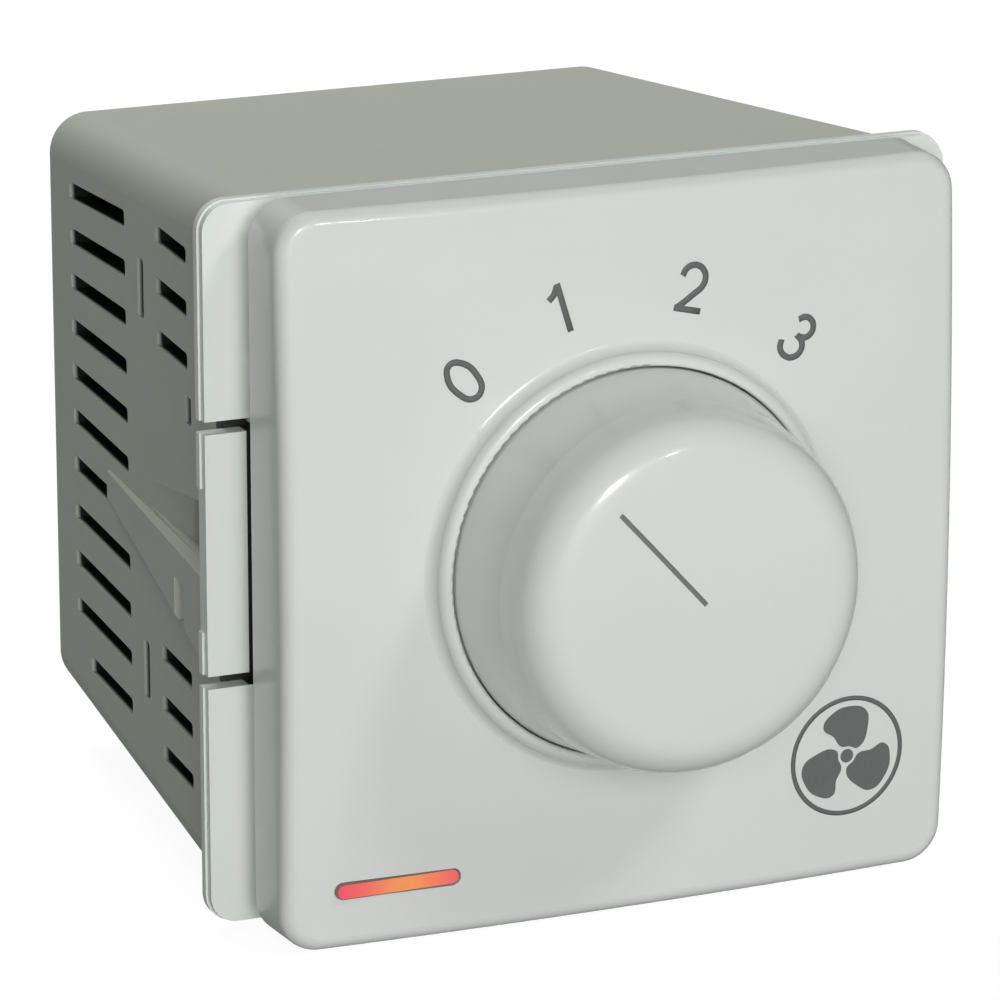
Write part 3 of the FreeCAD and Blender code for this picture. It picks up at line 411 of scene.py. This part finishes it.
def printed(name, tone):
    """Pad-printed ink: slightly uneven, with a dull face."""
    mix = new_finish(name)
    cover = mix.noise(0.22 * MM, 4.0)
    base = mix.mix(cover, tinted(tone, 0.86), tinted(tone, 1.16))
    skin = mix.bump(cover, 0.003 * MM)
    return mix.close(mix.shader(Base_Color=base, Roughness=0.42 + 0.2 * cover, Normal=skin))


def lit_bar(name):
    """The clear bar over the lamp: red at its ends, amber in the middle, with a grainy glow and a dark rim of
    painted shade.
    """
    mix = new_finish(name)
    low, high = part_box("indicator_lens")
    across, along, upwards = mix.axes()
    share = (across - low.x) / (high.x - low.x)
    glow = mix.node(
        "ShaderNodeValToRGB",
        {
            "stops": [
                (0.10, linear(238, 88, 108)),
                (0.30, linear(241, 120, 106)),
                (0.46, linear(244, 160, 92)),
                (0.60, linear(244, 162, 92)),
                (0.76, linear(243, 136, 100)),
                (0.92, linear(238, 102, 114)),
            ]
        },
        {0: share},
    )
    grain = mix.noise(0.32 * MM, 3.0)
    tint = mix.mix(grain * 0.3, glow, linear(236, 84, 92))
    past_end = (abs(across - (low.x + high.x) / 2) - LENS_STRAIGHT / 2).most(0.0)
    height = upwards - (low.z + high.z) / 2
    from_middle = (past_end * past_end + height * height).root()
    # Painted shade: the rim glows dark grey for the shaded gap round the lens.
    tint = mix.mix(from_middle > LENS_RIM, tint, linear(92, 92, 80))
    skin = mix.bump(grain, 0.01 * MM)
    return mix.close(
        mix.shader(
            Base_Color=linear(84, 22, 24),
            Roughness=0.28 + 0.1 * grain,
            Normal=skin,
            Emission_Color=tint,
            Emission_Strength=0.9,
        )
    )


def banded(name, tone, middle, bands):
    """A lacquered resistor with colour bands at places along X, measured from its middle."""
    mix = new_finish(name)
    cloud = mix.noise(0.5 * MM, 2.0)
    base = mix.mix(cloud, tinted(tone, 0.92), tinted(tone, 1.06))
    along = abs(mix.axes()[0]) - middle
    for place, tint in bands:
        base = mix.mix(abs(along - place) < 0.17 * MM, base, tint)
    skin = mix.bump(cloud, 0.01 * MM)
    return mix.close(mix.shader(Base_Color=base, Roughness=0.3 + 0.1 * cloud, Normal=skin))


def glass(name, tone):
    """Thin lamp glass with faint drawn lines."""
    mix = new_finish(name)
    lines = mix.noise(0.6 * MM, 2.0, (0.3, 1.0, 1.0))
    base = mix.mix(lines, tinted(tone, 0.94), tone)
    return mix.close(
        mix.shader(
            Base_Color=base,
            Roughness=0.04 + 0.05 * lines,
            Normal=mix.bump(lines, 0.004 * MM),
            Transmission_Weight=0.85,
            ior=1.5,
        )
    )


def dress(node, material):
    """Gives a carried-over piece its finish."""
    piece = frame["nodes"][node]
    piece.data.materials.clear()
    piece.data.materials.append(material)


def select_none():
    """Leaves edit mode and deselects everything."""
    if bpy.context.object is not None and bpy.context.object.mode != "OBJECT":
        bpy.ops.object.mode_set(mode="OBJECT")
    bpy.ops.object.select_all(action="DESELECT")


def select_only(*pieces):
    """Selects these pieces and makes the first one active."""
    select_none()
    for piece in pieces:
        piece.select_set(True)
    bpy.context.view_layer.objects.active = pieces[0]


def outline_curve(name, points, closed, handles="AUTO"):
    """A flat Bezier line through points, in millimetres."""
    data = bpy.data.curves.new(name, "CURVE")
    data.dimensions = "3D"
    data.resolution_u = 14
    data.twist_mode = "Z_UP"
    spline = data.splines.new("BEZIER")
    spline.bezier_points.add(len(points) - 1)
    for knot, (right, up) in zip(spline.bezier_points, points):
        knot.co = (right * MM, up * MM, 0)
        knot.handle_left_type = handles
        knot.handle_right_type = handles
    spline.use_cyclic_u = closed
    piece = bpy.data.objects.new(name, data)
    bpy.context.scene.collection.objects.link(piece)
    return piece


def as_mesh(piece):
    """Turns a curve into a mesh with its faces outwards."""
    select_only(piece)
    bpy.ops.object.convert(target="MESH")
    bpy.ops.object.mode_set(mode="EDIT")
    bpy.ops.mesh.select_all(action="SELECT")
    bpy.ops.mesh.remove_doubles(threshold=0.0005 * MM)
    bpy.ops.mesh.normals_make_consistent(inside=False)
    bpy.ops.object.mode_set(mode="OBJECT")
    return piece


def stroke(name, points, width, depth, closed=False, handles="AUTO"):
    """A pen stroke along a line: a flat bar of that width and depth."""
    corners = ((-1, -1), (1, -1), (1, 1), (-1, 1))
    nib_points = [(side * width / 2, face * depth / 2) for side, face in corners]
    nib = outline_curve(name + "_nib", nib_points, True, "VECTOR")
    nib.data.dimensions = "2D"
    line = outline_curve(name, points, closed, handles)
    line.data.bevel_mode = "OBJECT"
    line.data.bevel_object = nib
    line.data.use_fill_caps = not closed
    as_mesh(line)
    bpy.data.objects.remove(nib)
    return line


def united(pieces):
    """One closed piece out of strokes that cross."""
    first = pieces[0]
    for other in pieces[1:]:
        select_only(first)
        join = first.modifiers.new("join", "BOOLEAN")
        join.operation = "UNION"
        join.solver = "EXACT"
        join.object = other
        bpy.ops.object.modifier_apply(modifier=join.name)
        bpy.data.objects.remove(other)
    return first


def surface_of(piece):
    """A tree of a piece's faces, to find its surface from the front."""
    return BVHTree.FromObject(piece, bpy.context.evaluated_depsgraph_get())


def front_of(tree, right, up):
    """Where a line into the wall at that place first meets the surface."""
    hit = tree.ray_cast(Vector((right, CAD_BOX[0].y - 1, up)), -FACE_OUT)[0]
    if hit is None:
        raise RuntimeError("there is no surface behind the mark")
    return hit.y


def lay_on_cover(piece, middle, turn, ink):
    """Turns a flat mark clockwise, puts its middle on the cover and rests it on the crowned face."""
    across = Vector((math.cos(turn), 0, -math.sin(turn)))
    upwards = Vector((math.sin(turn), 0, math.cos(turn)))
    cover = surface_of(frame["nodes"]["front_cover"])
    half = ink / 2
    for vertex in piece.data.vertices:
        right, up, out = vertex.co
        spot = middle + across * right + upwards * up
        spot.y = front_of(cover, spot.x, spot.z) - max(0.0, out + half) + 0.2 * half
        vertex.co = spot
    piece.data.update()


def bow(middle_up, half_w, half_h, start, end):
    """Points of an arc of an ellipse about (0, middle_up), in degrees from the right."""
    turns = [math.radians(start + (end - start) * i / 6) for i in range(7)]
    return [(half_w * math.cos(turn), middle_up + half_h * math.sin(turn)) for turn in turns]


def numeral_strokes(numeral):
    """The lines of a numeral one millimetre high, without the width of its line: points, closed, handles."""
    if numeral == "0":
        return [(bow(0, 0.262, 0.445, 90, -218.6), True, "AUTO")]
    if numeral == "1":
        return [
            ([(0.07, -0.5), (0.07, 0.5)], False, "VECTOR"),
            ([(-0.19, 0.235), (-0.05, 0.32), (0.055, 0.46)], False, "AUTO"),
        ]
    if numeral == "2":
        return [
            (bow(0.185, 0.25, 0.26, 178, -28) + [(0.06, -0.13), (-0.23, -0.43)], False, "AUTO"),
            ([(-0.3, -0.445), (0.28, -0.445)], False, "VECTOR"),
        ]
    return [
        (bow(0.235, 0.205, 0.21, 165, -84), False, "AUTO"),
        (bow(-0.205, 0.25, 0.24, 98, -172), False, "AUTO"),
    ]


def finish_print(piece, ink, body):
    """Gives a mark its ink and the body that carries it."""
    piece.data.materials.clear()
    piece.data.materials.append(ink)
    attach(piece, body)


def ink_finish():
    """The printing ink, mixed once."""
    made = bpy.data.materials.get("pad printed ink")
    return made or printed("pad printed ink", tuple(bpy.context.scene.fan_colours.ink))


class FANCONTROL_OT_plastics(bpy.types.Operator):
    """Finish the moulded cover, knob, frame, housing, terminal block and lit bar"""

    bl_idname = "fan_control.plastics"
    bl_label = "Finish the mouldings"

    def execute(self, context):
        tones = context.scene.fan_colours
        white, mount, housing = tuple(tones.cover), tuple(tones.mount), tuple(tones.housing)
        grey = linear(206, 206, 196)
        # Node, material, tone, roughness, grain, its size and the waves in millimetres, coat, painted shade,
        # haze.
        mouldings = (
            ("front_cover", "polished white cover", white, 0.24, 0.0012, 0.2, 0.006, 0.5, None, HAZE),
            ("knob", "polished white knob", white, 0.2, 0.001, 0.2, 0.004, 0.5, None, 0.035),
            ("mounting_frame", "white frame moulding", mount, 0.32, 0.0025, 0.16, 0.008, 0.0, seam_painted_shade, HAZE),
            ("rear_housing", "white housing moulding", housing, 0.46, 0.006, 0.14, 0.012, 0.0, housing_painted_shade, HAZE),
            ("terminal_block", "terminal moulding", grey, 0.4, 0.005, 0.15, 0.01, 0.0, None, HAZE),
        )
        for node, name, tone, gloss, grain, grain_size, wave, coat, painted_shade, haze in mouldings:
            made = moulding(name, tone, gloss, grain * MM, grain_size * MM, wave * MM, coat, painted_shade, haze)
            dress(node, made)
        dress("indicator_lens", lit_bar("lit amber bar"))
        return {"FINISHED"}


class FANCONTROL_OT_metals(bpy.types.Operator):
    """Finish the steel, plated and brass pieces"""

    bl_idname = "fan_control.metals"
    bl_label = "Finish the metal pieces"

    def execute(self, context):
        spring = metal("drawn spring steel", linear(176, 178, 180), 0.3, (6.0, 1.0, 6.0))
        turned = metal("turned steel", linear(196, 196, 194), 0.26, (1.0, 9.0, 1.0))
        plated = metal("bright zinc plate", linear(208, 208, 200), 0.22, (2.0, 2.0, 2.0), 0.9)
        brass = metal("satin brass", linear(214, 178, 104), 0.28, (1.0, 6.0, 1.0))
        groups = {
            "knob_spring_clip shaft_circlip detent_spring": spring,
            "switch_shaft": turned,
            "switch_nut lock_washer detent_ball terminal_screws board_screws housing_screws": plated,
            "wiper switch_bushing fixed_contacts common_contact terminal_clamps": brass,
        }
        for nodes, finish in groups.items():
            for node in nodes.split():
                dress(node, finish)
        return {"FINISHED"}


class FANCONTROL_OT_electrics(bpy.types.Operator):
    """Finish the switch, board and electrical pieces inside the housing"""

    bl_idname = "fan_control.electrics"
    bl_label = "Finish the pieces inside"

    def execute(self, context):
        moulded = phenolic("black switch phenolic", linear(52, 50, 48), 0.42, 0.5 * MM)
        dress("rotor", moulded)
        dress("switch_body", moulded)
        dress("contact_carrier", phenolic("brown carrier laminate", linear(120, 78, 46), 0.46, 0.4 * MM))
        dress("circuit_board", phenolic("board laminate", linear(196, 160, 104), 0.5, 0.45 * MM))
        case = moulding("capacitor case", linear(206, 188, 84), 0.26, 0.002 * MM, 0.2 * MM, 0.01 * MM, 0.2)
        dress("speed_capacitor_1", case)
        dress("speed_capacitor_2", case)
        brown, black, yellow, gold = (
            linear(92, 50, 26),
            linear(24, 22, 22),
            linear(226, 190, 40),
            linear(190, 150, 60),
        )
        code = [(-1.6 * MM, brown), (-0.7 * MM, black), (0.2 * MM, yellow), (1.7 * MM, gold)]
        low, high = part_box("bleed_resistors")
        middle = high.x / 2 + 4.2 * MM
        dress("bleed_resistors", banded("lacquered resistor", linear(206, 178, 134), middle, code))
        low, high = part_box("lamp_resistor")
        middle = -(low.x + high.x) / 2
        dress("lamp_resistor", banded("lacquered lamp resistor", linear(206, 178, 134), middle, code))
        dress("surge_resistors", phenolic("cement coat", linear(214, 208, 192), 0.6, 0.3 * MM))
        dress("neon_lamp", glass("lamp glass", linear(252, 214, 190)))
        return {"FINISHED"}


def knob_profile(radius):
    """The rounding of an edge of that radius: its middle from the axis and below the face, and the radius."""
    return KNOB_SHOULDER - radius, KNOB_CROWN + radius, radius


def crown_depth(from_axis, edge):
    """How far the crowned face lies behind its middle."""
    return KNOB_CROWN * (from_axis / (KNOB_SHOULDER - edge)) ** 2


def skin_reach(turn, start):
    """From the middle of the source's rounding, how far the tighter profile lies along a ray at that turn."""
    middle_r, middle_d, radius = knob_profile(KNOB_EDGE)
    across, ahead = math.cos(turn), math.sin(turn)
    reach = start
    while True:
        from_axis = middle_r + reach * across
        depth = middle_d - reach * ahead
        inner_r, inner_d, tight = knob_profile(KNOB_TIGHT_EDGE)
        if depth > inner_d:
            taper = KNOB_SHOULDER + (KNOB_BASE - KNOB_SHOULDER) * (depth - inner_d) / (KNOB_COLLAR - inner_d)
            outside = from_axis >= taper
        elif from_axis > inner_r:
            outside = math.hypot(from_axis - inner_r, inner_d - depth) >= tight
        else:
            outside = depth <= crown_depth(from_axis, KNOB_TIGHT_EDGE)
        if outside:
            return reach
        reach += REACH_STEP


class FANCONTROL_OT_knob(bpy.types.Operator):
    """Stand in for the knob with a copy that has the tighter edge"""

    bl_idname = "fan_control.knob"
    bl_label = "Tighten the knob's edge"

    def execute(self, context):
        select_only(frame["nodes"]["knob"])
        bpy.ops.object.duplicate()
        piece = context.object
        piece.name = "knob_turned"
        piece.data.name = "knob_turned"
        face = min(vertex.co.y for vertex in piece.data.vertices)
        middle_r, middle_d, radius = knob_profile(KNOB_EDGE)
        for vertex in piece.data.vertices:
            outwards = Vector((vertex.co.x - KNOB_AXIS.x, 0, vertex.co.z - KNOB_AXIS.z))
            from_axis = outwards.length
            depth = vertex.co.y - face
            ahead = middle_d - depth
            if from_axis < middle_r:
                if depth < KNOB_SKIN:
                    vertex.co.y += crown_depth(from_axis, KNOB_TIGHT_EDGE) - crown_depth(from_axis, KNOB_EDGE)
                continue
            reach = math.hypot(from_axis - middle_r, ahead)
            if ahead < -0.001 * MM or reach < radius - KNOB_SKIN:
                continue
            turn = math.atan2(max(ahead, 0), from_axis - middle_r)
            gain = skin_reach(turn, radius - 0.01 * MM) - radius
            outwards.normalize()
            vertex.co += outwards * gain * math.cos(turn) + FACE_OUT * gain * math.sin(turn)
        piece.data.update()
        select_only(piece)
        bpy.ops.mesh.customdata_custom_splitnormals_clear()
        bpy.ops.object.shade_smooth_by_angle(angle=math.radians(32))
        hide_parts("knob")
        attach(piece, "dial")
        return {"FINISHED"}


class FANCONTROL_OT_numerals(bpy.types.Operator):
    """Print the numerals of the knob's positions round the collar"""

    bl_idname = "fan_control.numerals"
    bl_label = "Print the numerals"

    def execute(self, context):
        sizes = context.scene.fan_print
        scale = sizes.numeral_height / MM
        for numeral, (degrees, outwards) in NUMERALS.items():
            turn = math.radians(degrees)
            strokes = []
            for number, (points, closed, handles) in enumerate(numeral_strokes(numeral)):
                line = [(right * scale, up * scale) for right, up in points]
                name = "numeral_%s_%d" % (numeral, number)
                strokes.append(stroke(name, line, sizes.numeral_line / MM, sizes.ink / MM, closed, handles))
            piece = united(strokes)
            piece.name = "numeral_" + numeral
            radius = sizes.numeral_radius + outwards * MM
            middle = KNOB_AXIS + radius * Vector((math.sin(turn), 0, math.cos(turn)))
            lay_on_cover(piece, middle, turn, sizes.ink)
            finish_print(piece, ink_finish(), "base")
        return {"FINISHED"}


class FANCONTROL_OT_symbol(bpy.types.Operator):
    """Print the fan symbol: a ring, three blades and a hub"""

    bl_idname = "fan_control.symbol"
    bl_label = "Print the fan symbol"

    def execute(self, context):
        sizes = context.scene.fan_print
        middle = KNOB_AXIS + Vector((sizes.symbol_right, 0, -sizes.symbol_down))
        radius = sizes.symbol_radius / MM
        depth = sizes.ink / MM
        quarter = [(0, radius), (radius, 0), (0, -radius), (-radius, 0)]
        ring = stroke("fan_symbol_ring", quarter, sizes.symbol_line / MM, depth, True)
        lay_on_cover(ring, middle, 0, sizes.ink)
        finish_print(ring, ink_finish(), "base")
        blade = [
            (-0.5, 0.76),
            (-1.1, 1.52),
            (-1.93, 2.3),
            (-1.2, 3.3),
            (0.15, 3.65),
            (1.4, 3.2),
            (1.6, 2.1),
            (0.86, 0.5),
            (0.15, 0.68),
        ]
        for number in range(3):
            piece = self.plate("fan_symbol_blade_%d" % (number + 1), blade, depth)
            lay_on_cover(piece, middle, number * math.tau / 3, sizes.ink)
            finish_print(piece, ink_finish(), "base")
        hub = self.plate("fan_symbol_hub", [(0, 0.5), (0.5, 0), (0, -0.5), (-0.5, 0)], depth)
        lay_on_cover(hub, middle, 0, sizes.ink)
        finish_print(hub, ink_finish(), "base")
        return {"FINISHED"}

    def plate(self, name, points, depth):
        """A flat plate inside a closed line."""
        piece = outline_curve(name, points, True)
        piece.data.dimensions = "2D"
        piece.data.fill_mode = "BOTH"
        piece.data.extrude = depth * MM / 2
        return as_mesh(piece)


class FANCONTROL_OT_pointer(bpy.types.Operator):
    """Fill the knob's groove with dark paint"""

    bl_idname = "fan_control.pointer"
    bl_label = "Paint the pointer"

    def execute(self, context):
        sizes = context.scene.fan_print
        turn = -KNOB_TRAVEL / 2
        outwards = Vector((math.sin(turn), 0, math.cos(turn)))
        across = Vector((math.cos(turn), 0, -math.sin(turn)))
        knob = surface_of(bpy.data.objects["knob_turned"])
        select_none()
        bpy.ops.mesh.primitive_cube_add(size=1)
        paint = context.object
        paint.name = "pointer_paint"
        bpy.ops.object.mode_set(mode="EDIT")
        bpy.ops.mesh.select_all(action="SELECT")
        bpy.ops.mesh.subdivide(number_cuts=11)
        bpy.ops.object.mode_set(mode="OBJECT")
        edge = 0.7 * sizes.pointer_width
        for vertex in paint.data.vertices:
            side, along, out = vertex.co
            spot = KNOB_AXIS + outwards * (along + 0.5) * sizes.pointer_length
            rim = spot + across * edge
            face = front_of(knob, rim.x, rim.z) + sizes.pointer_sunk
            spot += across * side * sizes.pointer_width
            spot.y = face + (0.5 - out) * 0.25 * MM
            vertex.co = spot
        paint.data.update()
        select_only(paint)
        bpy.ops.object.mode_set(mode="EDIT")
        bpy.ops.mesh.select_all(action="SELECT")
        bpy.ops.mesh.normals_make_consistent(inside=False)
        bpy.ops.object.mode_set(mode="OBJECT")
        ink = printed("pointer paint", tuple(context.scene.fan_colours.pointer))
        finish_print(paint, ink, "dial")
        return {"FINISHED"}


class FANCONTROL_OT_stage(bpy.types.Operator):
    """Lay the pale floor and set the lamps, the world and the camera"""

    bl_idname = "fan_control.stage"
    bl_label = "Set the stage"

    def execute(self, context):
        settings = context.scene.fan_studio
        context.scene.view_settings.view_transform = "Standard"
        self.floor()
        self.world(context.scene, settings.world_light)
        self.lamp("key", Vector((-0.2, -0.9, 0.14)), 0.6, settings.key_power, False)
        self.lamp("top", Vector((0.0, 0.68, 0.62)), 0.4, settings.top_power, False)
        self.lamp("shade", Vector((0.38, -0.55, 0.7)), 0.18, settings.shade_power, False)
        self.lamp("glint_1", Vector((-0.12, -0.87, 0.4)), 0.15, settings.glint_power)
        self.lamp("glint_2", Vector((0.235, -0.82, 0.46)), 0.05, settings.glint_power / 6)
        self.camera(context.scene)
        return {"FINISHED"}

    def floor(self):
        """A wide pale floor that reads as white, but for the shadow on it."""
        select_none()
        bpy.ops.mesh.primitive_circle_add(vertices=64, radius=2.0, fill_type="NGON")
        piece = bpy.context.object
        piece.name = "floor"
        mix = new_finish("pale floor")
        cloud = mix.noise(0.05, 2.0)
        base = mix.mix(cloud, (0.11, 0.11, 0.11), (0.13, 0.13, 0.13))
        glow = {"Emission_Color": (0.9, 1.0, 0.93), "Emission_Strength": 0.15}
        plain = mix.shader(Base_Color=base, Roughness=0.9, **glow)
        seen = mix.shader(Base_Color=base, Roughness=0.9, Emission_Color=(1, 1, 1), Emission_Strength=0.93)
        both = mix.node("ShaderNodeMixShader", sockets={0: self.shown_rays(mix), 1: plain, 2: seen})
        piece.data.materials.append(mix.close(both))

    def shown_rays(self, mix):
        """1 for rays from the camera, straight or by way of glass, else 0."""
        camera = mix.node("ShaderNodeLightPath", output="Is Camera Ray")
        return camera.most(mix.node("ShaderNodeLightPath", output="Is Transmission Ray"))

    def world(self, scene, strength):
        """Even light all round, shown as plain white."""
        scene.world = bpy.data.worlds.new("studio")
        mix = Finish(scene.world)
        light = mix.node("ShaderNodeBackground", sockets={"Color": (0.82, 1.0, 0.9), "Strength": strength})
        white = mix.node("ShaderNodeBackground", sockets={"Color": (1, 1, 1), "Strength": 1.0})
        both = mix.node("ShaderNodeMixShader", sockets={0: self.shown_rays(mix), 1: light, 2: white})
        mix.close(both, "ShaderNodeOutputWorld")

    def lamp(self, name, offset, size, watts, reflected=True):
        """A square light at an offset from the knob's axis, aimed at it: seen only in reflections, or never."""
        data = bpy.data.lights.new(name, "AREA")
        data.energy = watts
        data.size = size
        lamp = bpy.data.objects.new(name, data)
        lamp.visible_glossy = reflected
        lamp.visible_diffuse = not reflected
        lamp.location = KNOB_AXIS + offset
        lamp.rotation_mode = "QUATERNION"
        lamp.rotation_quaternion = (-offset).to_track_quat("-Z", "Y")
        bpy.context.scene.collection.objects.link(lamp)

    def camera(self, scene):
        """The camera of the reference view."""
        data = bpy.data.cameras.new("camera")
        data.lens = CAMERA_LENS
        data.clip_start = 0.01
        camera = bpy.data.objects.new("camera", data)
        camera.location = CAMERA_AT
        camera.rotation_mode = "QUATERNION"
        camera.rotation_quaternion = CAMERA_TOWARDS.to_track_quat("-Z", "Y")
        scene.collection.objects.link(camera)
        scene.camera = camera


STEPS = (
    FANCONTROL_OT_plastics,
    FANCONTROL_OT_metals,
    FANCONTROL_OT_electrics,
    FANCONTROL_OT_knob,
    FANCONTROL_OT_numerals,
    FANCONTROL_OT_symbol,
    FANCONTROL_OT_pointer,
    FANCONTROL_OT_stage,
)
SETTINGS = {"fan_print": FanControlPrint, "fan_colours": FanControlColours, "fan_studio": FanControlStudio}


class FANCONTROL_PT_sidebar(bpy.types.Panel):
    """Lists the steps and their sizes and colours"""

    bl_idname = "FANCONTROL_PT_sidebar"
    bl_label = "Fan Control"
    bl_space_type = "VIEW_3D"
    bl_region_type = "UI"
    bl_category = "Fan Control"

    def draw(self, context):
        for step in STEPS:
            self.layout.operator(step.bl_idname)
        for name, group in SETTINGS.items():
            box = self.layout.box()
            for prop in group.__annotations__:
                box.prop(getattr(context.scene, name), prop)


def register():
    """Registers the settings, the operators and the panel."""
    for made in (*SETTINGS.values(), *STEPS, FANCONTROL_PT_sidebar):
        bpy.utils.register_class(made)
    for name, group in SETTINGS.items():
        setattr(bpy.types.Scene, name, bpy.props.PointerProperty(type=group))


def unregister():
    """Removes what register added."""
    for name in SETTINGS:
        delattr(bpy.types.Scene, name)
    for made in reversed((*SETTINGS.values(), *STEPS, FANCONTROL_PT_sidebar)):
        bpy.utils.unregister_class(made)


def main():
    """Runs every step in order."""
    register()
    for step in STEPS:
        group, name = step.bl_idname.split(".")
        getattr(getattr(bpy.ops, group), name)()


if __name__ == "__main__":
    main()
